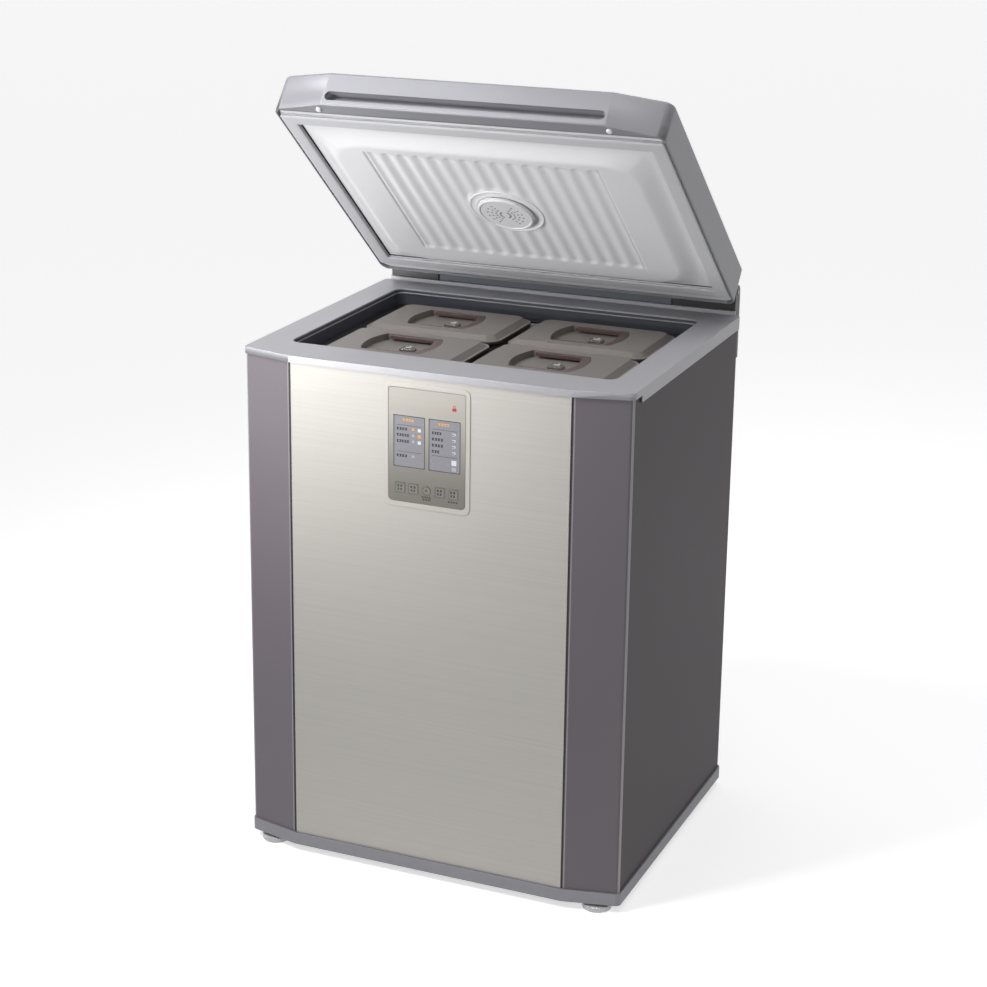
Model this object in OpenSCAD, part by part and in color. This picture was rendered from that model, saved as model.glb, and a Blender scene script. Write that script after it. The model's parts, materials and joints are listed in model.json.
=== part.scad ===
// Top-opening kimchi refrigerator: a cabinet with an insulated tub, a lid on
// rear hinges, two layers of lidded food containers, and a cooling unit below.
// Millimetres. +X right, +Y back, +Z up. The origin is on the floor, at the
// middle of the footprint (front of the rim to the back of the hinge cover).
// The lid is drawn shut and then turned open about its hinge.

/* [Cabinet] */
// Width of the rim and the base
cabinet_w = 600; // [586:2:680]
// Depth of the cabinet, front of the rim to its back
cabinet_d = 506; // [500:2:560]
// Height from the underside of the base to the top of the rim
cabinet_h = 770; // [765:5:860]
// Width of the flat front between the two angled corners
front_flat_w = 433; // [400:1:460]
// How far each front corner stands back from the flat front
corner_setback = 20; // [12:1:30]
// Radius of the cabinet's upright corners
corner_r = 9; // [6:1:14]
// How far the outer sheets stand in from the rim and the base
panel_inset = 3; // [2:0.5:5]
// Thickness of the outer sheets
skin_t = 1; // [0.8:0.1:2]
// Open groove between the front panel and each corner strip
panel_seam = 3; // [1:0.5:5]
// How far each corner strip wraps round onto the side
strip_wrap = 6; // [3:1:14]
// Thickness of the foam under the tub
floor_foam = 45; // [30:1:60]

/* [Rim] */
// Thickness of the rim's plates and skirts
rim_t = 3; // [2:0.5:5]
// Width of the rim in front of the opening
rim_front_w = 73; // [64:1:80]
// Depth of the rim's skirt at the front
front_skirt_h = 10; // [6:1:14]
// Depth of the rim's skirt at the sides and back
side_skirt_h = 20; // [16:1:26]
// How far behind the front the skirt gets deeper
skirt_step_d = 50; // [40:1:80]
// Depth of the wall that lines the opening
throat_h = 26; // [22:1:30]
// Width of the black ledge between the opening and the tub
ledge_w = 15; // [10:1:20]
// Height of the upstand along the rim's rear edge
upstand_h = 6; // [4:0.5:7]
// Thickness of the upstand
upstand_t = 4; // [3:0.5:4.5]

/* [Base and feet] */
// Height of the base band
base_h = 19; // [18:1:30]
// Thickness of the base band's wall
base_wall = 3; // [2:0.5:5]
// Width of the flange that the cabinet stands on
base_flange_w = 22; // [18:1:30]
// Thickness of the steel floor plate
floor_t = 1.5; // [1:0.1:3]
// Clear height under the base
foot_h = 12; // [10:1:16]
// Radius of a levelling foot's pad
foot_r = 21.5; // [16:0.5:24]
// Height of a foot's pad
foot_pad_h = 9; // [6:0.5:9.5]
// Radius of a foot's screw
foot_screw_r = 5; // [4:0.5:6]
// Distance of a foot from the cabinet's side
foot_in_x = 37; // [32:1:45]
// Distance of a foot from the cabinet's front
foot_in_y = 28; // [27:1:40]
// Radius of a rear roller
roller_r = 14; // [12:0.5:14.5]
// Width of a rear roller
roller_w = 20; // [14:1:26]
// Distance of a roller from the cabinet's side
roller_in_x = 65; // [50:1:90]
// Distance of a roller from the cabinet's back
roller_in_y = 46; // [40:1:60]

/* [Lid] */
// Width of the lid
lid_w = 594; // [560:2:600]
// Depth of the lid
lid_d = 500.6; // [490:0.2:501]
// Thickness of the lid
lid_t = 57; // [48:1:70]
// Width of the lid's flat front
lid_flat_w = 428; // [424:1:450]
// How far the lid's front corners stand back
lid_setback = 18; // [12:1:24]
// Radius of the lid's front corners
lid_corner_r = 16; // [8:1:24]
// Wall of the lid's shell
lid_wall = 3; // [2:0.5:4]
// Depth of the solid nose along the lid's front, which holds the grip
lid_nose_d = 20; // [18:1:30]
// Gap between the shut lid and the rim
lid_gap = 2.5; // [1.5:0.5:4]
// Angle at which the lid stands open
lid_angle = 40; // [0:1:70]
// Length of the grip recess
grip_w = 424; // [200:4:424]
// Height of the grip recess
grip_h = 14.5; // [12:0.5:24]
// Depth of the grip recess
grip_depth = 16; // [10:1:17]
// Height of the lip below the grip recess
grip_lip_t = 11; // [6:0.5:14]
// Height of the sloping facet under the lid's nose
nose_rise = 3; // [1:0.5:3.5]
// Depth of the sloping facet, front to back
nose_run = 17; // [12:1:20]
// Radius of a rest bumper
bumper_r = 4.5; // [3:0.5:6]
// Distance of the rest bumpers from the middle
bumper_x = 220; // [216:1:240]

/* [Lid lining] */
// Wall of the moulded liner
liner_t = 1.5; // [1:0.1:2.5]
// How far the liner's edge is recessed into the lid, for the gasket
liner_recess = 4; // [3:0.5:6]
// How far the liner's raised middle reaches below the lid
plug_drop = 9; // [5:0.5:10]
// Clearance between the liner's raised middle and the opening
plug_clear = 7; // [4:1:12]
// Width of the gasket
gasket_w = 22; // [14:1:24]
// Gap between the gasket and the rim when shut
gasket_gap = 0.3; // [0.2:0.1:1]
// Radius of the gasket's welded corners
gasket_r = 4; // [2:1:32]
// Gap between the gasket and the lid's side walls
gasket_side_gap = 1.5; // [0.5:0.5:3]
// Distance of the gasket's rear inner edge from the opening
gasket_set = 6; // [2:1:9]
// Number of waves pressed into the liner
wave_count = 15; // [8:1:20]
// Depth of a wave
wave_h = 1.6; // [0.8:0.2:3]
// Width of the waved field
wave_field_w = 366; // [240:2:420]
// Depth of the waved field, front to back
wave_field_d = 294; // [200:2:320]
// Radius of the deodoriser's cap
cap_r = 43.5; // [34:0.5:50]
// Height of the deodoriser's cap
cap_h = 4.7; // [3:0.1:5]
// Radius of the raised ring round the cap
cap_ring_r = 58; // [52:1:66]
// Height of the raised ring
cap_ring_h = 1.4; // [0.8:0.1:2]

/* [Hinge] */
// How far the hinge axis stands behind the cabinet's back
hinge_setback = 12; // [12:0.5:16]
// Height of the hinge axis above the rim
hinge_rise = 33; // [28:0.5:38]
// Radius of the hinge pin
pin_r = 4; // [3:0.5:5]
// Running clearance of the pin in the lid's arm
pin_clear = 0.06; // [0.02:0.01:0.1]
// Radius of the round hinge cover
cover_r = 15; // [13.5:0.5:16]
// Wall of the hinge cover
cover_t = 2; // [1:0.5:2.5]
// Length of the hinge cover
cover_w = 392; // [360:4:400]
// How far the hinge cover stands to the left of the middle
cover_shift = 8; // [0:1:10]
// How far the hinge cover reaches below the rim
cover_drop = 60; // [45:1:80]
// Distance of a hinge bracket's outer face from the cabinet's side
bracket_in = 10; // [8:1:20]
// Thickness of a bracket's ear
ear_t = 5; // [3:0.5:7]
// Radius of a bracket's ear
ear_r = 11; // [8:0.5:12]
// Radius of the lid arm's knuckle
knuckle_r = 9; // [7:0.5:10]
// Length of a counterbalance spring
spring_len = 52; // [30:1:70]
// Outer radius of a counterbalance spring
spring_r = 10; // [7:0.5:10.5]

/* [Containers] */
// Width of a container's lid
tray_w = 222; // [200:1:226]
// Depth of a container's lid
tray_d = 158; // [140:1:160]
// Corner radius of a container's lid
tray_r = 22; // [14:1:26]
// Height of a container's box
box_h = 248; // [200:1:250]
// How far a container's box stands in from its lid
box_inset = 3; // [2:0.5:5]
// Wall of a container's box
box_t = 2.5; // [1.5:0.1:4]
// Gap between the containers, left to right
gap_x = 13; // [5:1:20]
// Gap between the containers, front to back
gap_y = 7; // [4:1:14]
// Gap between the containers and the tub, left and right
gap_tub_x = 9; // [5:1:14]
// Gap between the containers and the tub, front and back
gap_tub_y = 12.5; // [5:0.5:16]
// Height of a container lid's edge
tray_edge_h = 7; // [5:0.5:9]
// Height of the raised middle of a container's lid
plateau_h = 7; // [5:0.5:9]
// Slope width round the raised middle
plateau_in = 12; // [8:1:18]
// Wall of a container's lid
tray_t = 2.5; // [1.5:0.1:2.5]
// How far the container lids lie below the rim
tray_drop = 14; // [14:0.5:20]
// Length of the handle recess
recess_w = 112; // [90:1:120]
// How far the handle recess lies to the left of its lid's middle
recess_shift = 3; // [0:0.5:6]
// Depth of the handle recess, front to back
recess_d = 96; // [70:1:100]
// How deep the handle recess is sunk
recess_h = 9.5; // [8:0.5:9.5]
// Radius of the recess's bowed ends
recess_bow_r = 110; // [80:1:200]
// Clearance round the folding handle
handle_clear = 1; // [0.6:0.1:2]
// Width of the handle's grip band
handle_band = 14; // [10:1:18]
// Width of the handle's arms
handle_arm = 7; // [5:0.5:9]
// Thickness of the handle
handle_t = 5; // [4:0.5:6]
// Radius of the handle's pivots
pivot_r = 1.8; // [1.4:0.1:2]
// Running clearance of the pivots
pivot_clear = 0.08; // [0.02:0.01:0.1]
// Distance of the pivots from the recess's end
pivot_in = 20; // [16:1:26]

/* [Tub] */
// Wall of the tub
tub_t = 1.2; // [0.8:0.1:2]
// Corner radius of the tub
tub_r = 12; // [8:1:34]
// Height of one evaporator tube
evap_h = 9; // [6:1:12]
// How far an evaporator tube stands out from the tub
evap_t = 6; // [4:0.5:9]
// Spacing of the evaporator's turns
evap_pitch = 48; // [36:1:60]
// Number of the evaporator's turns
evap_turns = 8; // [4:1:9]

/* [Controls] */
// Width of the control plate
plate_w = 118; // [110:1:130]
// Height of the control plate
plate_h = 168; // [160:1:180]
// Distance of the control plate's top below the rim
plate_drop = 27; // [24:1:40]
// Thickness of the control plate
plate_t = 2; // [1.5:0.1:3]
// Width of the frame at the plate's sides
bezel_side = 7.5; // [6:0.5:10]
// Width of the frame above and below the plate
bezel_end = 8; // [6:0.5:13]
// Corner radius of the control plate at its foot
plate_r_low = 7; // [3:0.5:9]
// Corner radius of the control plate at its top
plate_r_high = 3; // [2:0.5:7]
// Corner radius of the frame
bezel_r = 10; // [6:0.5:12]
// How far the frame stands out from the front panel
bezel_proud = 1.2; // [0.8:0.1:2.5]
// Depth of the control housing
housing_d = 18; // [16:1:26]
// Width of a display window
window_w = 48.5; // [40:0.5:49]
// Height of a display window
window_h = 76; // [60:1:80]
// Distance of the windows' top below the plate's top
window_drop = 40; // [34:1:44]
// Gap between the two windows
window_gap = 6; // [4:0.5:10]
// Size of a square key
key_s = 15; // [11:0.5:16]
// Spacing of the keys
key_pitch = 20.5; // [18:0.5:20.5]
// Distance of the keys' middle below the plate's top
key_drop = 147; // [136:1:150]
// How far the keys stand out from the plate
key_proud = 0.4; // [0.2:0.1:1]
// How far a key is pressed
key_travel = 0.8; // [0.3:0.1:1]
// Gap round a key
key_gap = 0.3; // [0.2:0.05:0.6]

/* [Cooling unit] */
// Radius of the compressor's shell
comp_r = 72; // [55:1:78]
// Height of the compressor's shell
comp_h = 128; // [100:1:128]
// Distance of the compressor's middle from the cabinet's side
comp_in_x = 135; // [120:1:150]
// Distance of the compressor's middle from the cabinet's back
comp_in_y = 112; // [100:1:150]
// Height of a rubber mount
mount_h = 10; // [6:1:10]
// Width of the condenser, left to right
cond_w = 76; // [50:1:90]
// Length of the condenser, front to back
cond_l = 150; // [100:1:180]
// Height of the condenser
cond_h = 120; // [80:1:130]
// Number of the condenser's fins
fin_count = 16; // [8:1:20]
// Size of the fan's square frame
fan_s = 124; // [100:1:134]
// Radius of the fan's blades
blade_r = 50; // [36:1:50]
// Number of fan blades
blade_count = 5; // [3:1:7]
// Radius of the refrigerant tubes
tube_r = 3; // [2:0.5:4]
// Radius of the cord inlet's bore
inlet_r = 4.5; // [3:0.5:5.5]

/* [Hidden] */
$fn = 64;

// Overlap that lets a cut run clean through a face
cut = 1;
// Clearance between fixed pieces that slide together once, at assembly
fit = 0.3;

// Places along Y and Z that the pieces share
total_d = cabinet_d + hinge_setback + cover_r;
front_y = -total_d / 2;
back_y = front_y + cabinet_d;
axis_y = back_y + hinge_setback;
base_top = foot_h + base_h;
floor_top = base_top + floor_t;
rim_top = foot_h + cabinet_h;
axis_z = rim_top + hinge_rise;
rim_under = rim_top - rim_t;
panel_y = front_y + panel_inset;

// Containers stand two by two and two high. The tub is made to hold them
tray_h = tray_edge_h + plateau_h;
stack_h = box_h + tray_h;
pitch_x = tray_w + gap_x;
pitch_y = tray_d + gap_y;
tub_w = pitch_x + tray_w + 2 * gap_tub_x;
tub_d = pitch_y + tray_d + 2 * gap_tub_y;
open_w = tub_w + 2 * ledge_w;
open_d = tub_d + 2 * ledge_w;
open_r = tub_r + 4;
open_y = front_y + rim_front_w + open_d / 2;
upper_z = rim_top - tray_drop - stack_h;
lower_z = upper_z - stack_h;
tub_floor = lower_z;
ledge_top = rim_top - throat_h;
ledge_t = 4;
tuck = rim_t + 6;
unit_top = tub_floor - tub_t - floor_foam;

// Lid, drawn shut
lid_under = rim_top + lid_gap;
lid_top = lid_under + lid_t;
lid_back = front_y + lid_d;
flange_z = lid_under + liner_recess;
plug_z = lid_under - plug_drop;
plug_w = open_w - 2 * plug_clear;
plug_d = open_d - 2 * plug_clear;
gasket_in_w = lid_w - 2 * (lid_wall + gasket_side_gap + gasket_w);
gasket_in_d = open_d + 4 * gasket_set;
gasket_y = open_y - gasket_set;

// Controls
plate_top = rim_top - plate_drop;
plate_y = panel_y - bezel_proud + 0.2;
housing_t = 2;
plate_ledge = 3;
board_y = panel_y + 8;
board_t = 1.6;

// Spots where more than one piece meets
foot_spots = [[-1, "left"], [1, "right"]];
foot_x = cabinet_w / 2 - foot_in_x;
foot_y = front_y + foot_in_y;
roller_x = cabinet_w / 2 - roller_in_x;
roller_y = back_y - roller_in_y;
comp_x = cabinet_w / 2 - comp_in_x;
comp_y = back_y - comp_in_y;
mount_r = 11;
stud_r = 4;
plate_lift = 3;
mount_spots = [for (sx = [-1, 1], sy = [-1, 1])
    [comp_x + sx * comp_r, comp_y + sy * comp_r * 0.72]];
unit_y = comp_y;
cond_x = -(cabinet_w / 2 - 48) + cond_w / 2;
cond_foot = 10;
cond_rows = 5;
cond_pitch = cond_h / cond_rows;
fan_x = cond_x + cond_w / 2 + 26;
fan_z = floor_top + fan_s / 2;
fan_t = 12;
shaft_r = 3;
hub_r = 16;
inlet_x = cabinet_w / 2 - 48;
inlet_z = base_top + 24;

// Colours
silver = "#A6A6AC";
dark_silver = "#8A8B92";
panel_steel = "#C9C5BC";
strip_grey = "#77727A";
side_grey = "#4F4A4E";
foam_cream = "#EBD9A6";
tub_grey = "#C9CCCF";
black = "#242426";
steel = "#B4B6B9";
copper = "#B87348";
liner_white = "#DADADD";
gasket_grey = "#BFBFC4";
tray_brown = "#5F5B58";
handle_brown = "#5A4B47";
clear_grey = "#B9B9B5";
plate_grey = "#A9A79F";
display_grey = "#9A9CA3";
board_green = "#2F6B45";
unit_black = "#1E1E20";
foot_grey = "#B9BABD";

// ---- outlines ----------------------------------------------------------

// Points that round the corner b of a path a, b, c with radius r
function rounded(a, b, c, r, steps = 6) =
    let (u = (a - b) / norm(a - b),
         v = (c - b) / norm(c - b),
         half = acos(u * v) / 2,
         mid = b + (u + v) / norm(u + v) * r / sin(half),
         p = b + u * r / tan(half) - mid,
         q = b + v * r / tan(half) - mid,
         from = atan2(p[1], p[0]),
         turn = (atan2(q[1], q[0]) - from + 540) % 360 - 180)
    [for (k = [0:steps]) mid + r * [cos(from + turn * k / steps), sin(from + turn * k / steps)]];

// Outline with a flat front and two angled front corners, moved inwards by i
function bent(w, front, back, flat, setback, r, i) =
    let (lean = atan(setback / ((w - flat) / 2)),
         x = w / 2 - i,
         bend = flat / 2 - i * tan(lean / 2),
         side = front + setback + i * (1 / cos(lean) - tan(lean)),
         y0 = front + i,
         y1 = back - i,
         rr = max(r - i, 0.5))
    concat(
        rounded([-x, side], [-x, y1], [x, y1], rr),
        rounded([-x, y1], [x, y1], [x, side], rr),
        rounded([x, y1], [x, side], [bend, y0], rr),
        [[bend, y0], [-bend, y0]],
        rounded([-bend, y0], [-x, side], [-x, y1], rr));

// The cabinet's outline, moved inwards by i, between two heights
module cabinet_slab(i, z0, z1) {
    translate([0, 0, z0]) linear_extrude(z1 - z0)
        polygon(bent(cabinet_w, front_y, back_y, front_flat_w, corner_setback, corner_r, i));
}

// The shut lid's outline, moved inwards by i, between two heights
module lid_slab(i, z0, z1) {
    translate([0, 0, z0]) linear_extrude(z1 - z0)
        polygon(bent(lid_w, front_y, lid_back, lid_flat_w, lid_setback, lid_corner_r, i));
}

// Rectangle with round corners, centred
module round_rect(w, d, r) {
    square([w - 2 * r, d], center = true);
    square([w, d - 2 * r], center = true);
    for (sx = [-1, 1], sy = [-1, 1]) translate([sx * (w / 2 - r), sy * (d / 2 - r)]) circle(r);
}

// Block with round upright corners, centred on the opening
module tub_block(w, d, r, z0, z1) {
    translate([0, open_y, z0]) linear_extrude(z1 - z0) round_rect(w, d, r);
}

// Box from one corner to the other
module block(a, b) {
    translate(a) cube(b - a);
}

// Rod along X from x0 to x1
module rod_x(x0, x1, y, z, r) {
    translate([x0, y, z]) rotate([0, 90, 0]) cylinder(h = x1 - x0, r = r);
}

// Rod along Y from y0 to y1
module rod_y(x, y0, y1, z, r) {
    translate([x, y1, z]) rotate([90, 0, 0]) cylinder(h = y1 - y0, r = r);
}

// Turns the shut lid open about its hinge
module lid_pose() {
    translate([0, axis_y, axis_z]) rotate([-lid_angle, 0, 0])
        translate([0, -axis_y, -axis_z]) children();
}

// ---- cabinet -----------------------------------------------------------

// Plastic band round the foot of the cabinet, with a flange to stand on
module base_frame() {
    color(dark_silver) difference() {
        cabinet_slab(0, foot_h, base_top);
        cabinet_slab(base_wall, foot_h - cut, base_top - base_wall);
        cabinet_slab(base_flange_w, foot_h, base_top + cut);
        for (s = foot_spots) translate([s[0] * foot_x, foot_y, foot_h])
            cylinder(h = base_h + cut, r = foot_screw_r + cut);
    }
}

// Steel plate across the base, with threaded bosses and the compressor's studs
module floor_plate() {
    color(steel) difference() {
        union() {
            cabinet_slab(panel_inset + skin_t + fit, base_top, floor_top);
            for (s = foot_spots) translate([s[0] * foot_x, foot_y, floor_top])
                cylinder(h = 9, r = foot_screw_r + 4);
            for (p = mount_spots) translate([p[0], p[1], floor_top])
                cylinder(h = mount_h + plate_lift + 6, r = stud_r);
        }
        for (s = foot_spots) translate([s[0] * foot_x, foot_y, base_top - cut])
            cylinder(h = floor_t + 9 + 2 * cut, r = foot_screw_r + 0.08);
    }
}

// Where the corner strips end and the side sheet starts
strip_end_y = front_y + corner_setback + strip_wrap;
// Opening in the back for the cooling unit
unit_open_w = cabinet_w - 80;
unit_open_z0 = base_top + 12;
unit_open_z1 = unit_top - 8;

// Side and back sheet, bent from one piece
module cabinet_wrap() {
    color(side_grey) difference() {
        cabinet_slab(panel_inset, base_top, rim_under);
        cabinet_slab(panel_inset + skin_t, base_top - cut, rim_under + cut);
        block([-cabinet_w, front_y - cut, foot_h], [cabinet_w, strip_end_y + fit, rim_top]);
        block([-unit_open_w / 2, back_y - 40, unit_open_z0],
            [unit_open_w / 2, back_y + cut, unit_open_z1]);
        rod_y(inlet_x, back_y - 40, back_y + cut, inlet_z, inlet_r + 4);
    }
}

// Brushed sheet across the flat front, cut out for the control housing
module front_panel() {
    half = (front_flat_w - panel_seam) / 2;
    color(panel_steel) difference() {
        intersection() {
            cabinet_slab(panel_inset, base_top, rim_under);
            block([-half, front_y, base_top - cut], [half, panel_y + skin_t, rim_top]);
        }
        housing_block(0, panel_y - cut, panel_y + skin_t + cut);
    }
}

// The two angled strips that close the front corners
module corner_strips() {
    half = (front_flat_w + panel_seam) / 2;
    color(strip_grey) difference() {
        cabinet_slab(panel_inset, base_top, rim_under);
        cabinet_slab(panel_inset + skin_t, base_top - cut, rim_under + cut);
        block([-half, front_y, base_top - cut], [half, back_y, rim_top]);
        block([-cabinet_w, strip_end_y, foot_h], [cabinet_w, back_y + cut, rim_top]);
    }
}

// Foam between the tub and the outer sheets
module insulation_foam() {
    color(foam_cream) difference() {
        cabinet_slab(panel_inset + skin_t, unit_top, rim_under);
        tub_block(tub_w + 2 * tub_t, tub_d + 2 * tub_t, tub_r + tub_t, tub_floor - tub_t, rim_top);
        tub_block(open_w + 2 * tuck, open_d + 2 * tuck, open_r + tuck,
            ledge_top - ledge_t - tub_t, ledge_top);
        tub_block(open_w + 2 * rim_t, open_d + 2 * rim_t, open_r + rim_t, ledge_top - cut, rim_top);
        evaporator_turns();
        housing_block(0, front_y, panel_y + housing_d);
    }
}

// Pressed metal tub that holds the containers
module inner_tub() {
    color(tub_grey) difference() {
        union() {
            tub_block(tub_w + 2 * tub_t, tub_d + 2 * tub_t, tub_r + tub_t,
                tub_floor - tub_t, ledge_top - ledge_t);
            tub_block(open_w + 2 * tuck, open_d + 2 * tuck, open_r + tuck,
                ledge_top - ledge_t - tub_t, ledge_top - ledge_t);
        }
        tub_block(tub_w, tub_d, tub_r, tub_floor, rim_top);
    }
}

// Flat tube that runs round the tub, turn above turn, joined by a riser
module evaporator_turns() {
    w = tub_w + 2 * tub_t;
    d = tub_d + 2 * tub_t;
    z0 = tub_floor + 40;
    difference() {
        union() {
            for (k = [0:evap_turns - 1])
                tub_block(w + 2 * evap_t, d + 2 * evap_t, tub_r + tub_t + evap_t,
                    z0 + k * evap_pitch, z0 + k * evap_pitch + evap_h);
            translate([0, open_y, 0])
                block([-evap_h / 2, d / 2 - cut, z0],
                    [evap_h / 2, d / 2 + evap_t, z0 + (evap_turns - 1) * evap_pitch + evap_h]);
        }
        tub_block(w, d, tub_r + tub_t, z0 - cut, z0 + evap_turns * evap_pitch);
    }
}

module evaporator_coil() {
    color(copper) evaporator_turns();
}

// Moulded rim: top plate, outer skirt, throat wall and rear upstand
module top_frame() {
    color(silver) difference() {
        union() {
            cabinet_slab(0, rim_top - side_skirt_h, rim_top);
            tub_block(open_w + 2 * rim_t, open_d + 2 * rim_t, open_r + rim_t, ledge_top, rim_top);
            block([-cabinet_w / 2 + corner_r, back_y - upstand_t, rim_top - cut],
                [cabinet_w / 2 - corner_r, back_y, rim_top + upstand_h]);
        }
        difference() {
            cabinet_slab(panel_inset, rim_top - throat_h - cut, rim_under);
            tub_block(open_w + 2 * rim_t, open_d + 2 * rim_t, open_r + rim_t,
                ledge_top - 2 * cut, rim_top);
        }
        block([-cabinet_w, front_y - cut, rim_top - side_skirt_h - cut],
            [cabinet_w, front_y + skirt_step_d, rim_top - front_skirt_h]);
        tub_block(open_w, open_d, open_r, ledge_top - 3 * cut, rim_top + cut);
    }
}

// Black ledge that joins the throat to the tub
module tub_collar() {
    color(black) difference() {
        tub_block(open_w + 2 * tuck, open_d + 2 * tuck, open_r + tuck, ledge_top - ledge_t, ledge_top);
        tub_block(tub_w, tub_d, tub_r, ledge_top - ledge_t - cut, ledge_top + cut);
    }
}

// ---- controls ----------------------------------------------------------

// Block over the control plate's area, grown by g, between two depths
module housing_block(g, y0, y1) {
    w = plate_w / 2 + fit + housing_t + g;
    block([-w, y0, plate_top - plate_h - fit - housing_t - g],
        [w, y1, plate_top + fit + housing_t + g]);
}

// Block over the plate's area, grown by side and end, with rounded corners
module plate_block(side, end, r_low, r_high, y0, y1) {
    w = plate_w / 2 + side;
    z0 = plate_top - plate_h - end;
    z1 = plate_top + end;
    translate([0, y1, 0]) rotate([90, 0, 0]) linear_extrude(y1 - y0) polygon(concat(
        rounded([-w, z0], [w, z0], [w, z1], r_low),
        rounded([w, z0], [w, z1], [-w, z1], r_high),
        rounded([w, z1], [-w, z1], [-w, z0], r_high),
        rounded([-w, z1], [-w, z0], [w, z0], r_low)));
}

// Frame that stands on the front panel, and the housing behind it
module control_bezel() {
    color("#D0CEC8") difference() {
        union() {
            plate_block(bezel_side, bezel_end, bezel_r, bezel_r, panel_y - bezel_proud, panel_y);
            housing_block(0, panel_y - bezel_proud, panel_y + housing_d);
        }
        plate_block(fit, fit, plate_r_low, plate_r_high, panel_y - bezel_proud - cut, plate_y + plate_t);
        housing_block(-housing_t - plate_ledge, plate_y, panel_y + housing_d - housing_t);
    }
}

// Middle of window n, 0 for the left one and 1 for the right one
function window_x(n) = (n - 0.5) * (window_w + window_gap);
// Middle of key n, from 1 to 5
function key_x(n) = (n - 3) * key_pitch;

module window_block(n, g, y0, y1) {
    block([window_x(n) - window_w / 2 - g, y0, plate_top - window_drop - window_h - g],
        [window_x(n) + window_w / 2 + g, y1, plate_top - window_drop + g]);
}

// Key shape grown by g: the middle key is round, the others are square
module key_block(n, g, y0, y1) {
    z = plate_top - key_drop;
    if (n == 3) rod_y(key_x(n), y0, y1, z, key_s / 2 - 1 + g);
    else block([key_x(n) - key_s / 2 - g, y0, z - key_s / 2 - g],
        [key_x(n) + key_s / 2 + g, y1, z + key_s / 2 + g]);
}

// Plate with holes for the windows and keys
module control_plate() {
    color(plate_grey) difference() {
        plate_block(0, 0, plate_r_low, plate_r_high, plate_y, plate_y + plate_t);
        for (n = [0, 1]) window_block(n, 0, plate_y - cut, plate_y + plate_t + cut);
        for (n = [1:5]) key_block(n, key_gap, plate_y - cut, plate_y + plate_t + cut);
    }
}

// Two tinted windows that fill the plate's openings
module display_windows() {
    color(display_grey) for (n = [0, 1]) window_block(n, 0, plate_y + 0.2, plate_y + plate_t);
}

// Circuit board with a switch behind each key and a light bar behind each window
module control_board() {
    keys_back = plate_y + plate_t + 1;
    color(board_green) union() {
        block([-plate_w / 2 + plate_ledge, board_y, plate_top - plate_h + plate_ledge],
            [plate_w / 2 - plate_ledge, board_y + board_t, plate_top - plate_ledge]);
        for (n = [1:5]) rod_y(key_x(n), keys_back + key_travel + 0.3, board_y + cut,
            plate_top - key_drop, 3);
        for (n = [0, 1]) window_block(n, -4, plate_y + plate_t + 1.5, board_y + cut);
        for (sx = [-1, 1], dz = [12, plate_h - 12])
            rod_y(sx * (plate_w / 2 - 8), board_y, panel_y + housing_d - housing_t,
                plate_top - dz, 3);
    }
}

// One key, with a flange behind the plate that keeps it in
module control_key(n) {
    color(plate_grey) union() {
        key_block(n, 0, plate_y - key_proud, plate_y + plate_t + 1);
        key_block(n, 1.5, plate_y + plate_t, plate_y + plate_t + 1);
    }
}

// ---- hinge -------------------------------------------------------------

// Stretches a shape drawn in Y and Z along X, from x0 to x1
module along_x(x0, x1) {
    translate([x0, 0, 0]) rotate([90, 0, 90]) linear_extrude(x1 - x0) children();
}

// Section of the hinge cover: a round top over a straight box, moved inwards
// by t and reaching low mm below the rim
module cover_section(t, low) {
    r = cover_r - t;
    translate([axis_y, axis_z]) circle(r);
    translate([axis_y - r, rim_top + upstand_h + fit + t])
        square([2 * r, hinge_rise - upstand_h - fit - t]);
    translate([back_y + fit + t, rim_top - low])
        square([axis_y + r - back_y - fit - t, low + hinge_rise]);
}

// Long cover over the springs, screwed to the cabinet's back
module hinge_cover() {
    foot_top = rim_top - side_skirt_h - 2;
    color(dark_silver) translate([-cover_shift, 0, 0]) difference() {
        union() {
            along_x(-cover_w / 2, cover_w / 2) cover_section(0, cover_drop);
            block([-cover_w / 2, back_y - panel_inset, rim_top - cover_drop],
                [cover_w / 2, back_y + fit + cover_t, foot_top]);
        }
        along_x(-cover_w / 2 + cover_t, cover_w / 2 - cover_t) cover_section(cover_t, cover_drop + cut);
        rod_x(-cover_w, cover_w, axis_y, axis_z, pin_r + fit);
    }
}

// Distance of the hinge cover's end from the middle, on side s
function cover_end(s) = cover_w / 2 - s * cover_shift;
// Distances of a bracket's inner and outer face from the middle, on side s
function bracket_x0(s) = cover_end(s) + 4;
bracket_x1 = cabinet_w / 2 - bracket_in;

// Steel bracket behind each rear corner: a back plate, two ears with a bore
// for the pin, and a front wall below the lid's arm
module hinge_brackets() {
    top = rim_top - side_skirt_h - 2;
    low = rim_top - cover_drop - 12;
    color(black) for (s = [-1, 1]) scale([s, 1, 1]) difference() {
        x0 = bracket_x0(s);
        union() {
            block([x0, back_y - panel_inset, low], [bracket_x1, back_y + fit + 2.5, top]);
            block([x0, back_y + fit, low], [bracket_x1, back_y + fit + 2, axis_z - knuckle_r - 2]);
            for (x = [x0, bracket_x1 - ear_t]) {
                block([x, back_y + fit, low], [x + ear_t, axis_y + ear_r, axis_z]);
                rod_x(x, x + ear_t, axis_y, axis_z, ear_r);
            }
        }
        rod_x(x0 - cut, bracket_x1 + cut, axis_y, axis_z, pin_r);
    }
}

// Distance of a spring's inner end from the middle, on side s
function spring_x0(s) = cover_end(s) - cover_t - spring_len - 1;

// A pin through each bracket, long enough to carry its spring
module hinge_pins() {
    color(steel) for (s = [-1, 1]) scale([s, 1, 1])
        rod_x(spring_x0(s) - 1, bracket_x1 + 1, axis_y, axis_z, pin_r);
}

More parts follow.
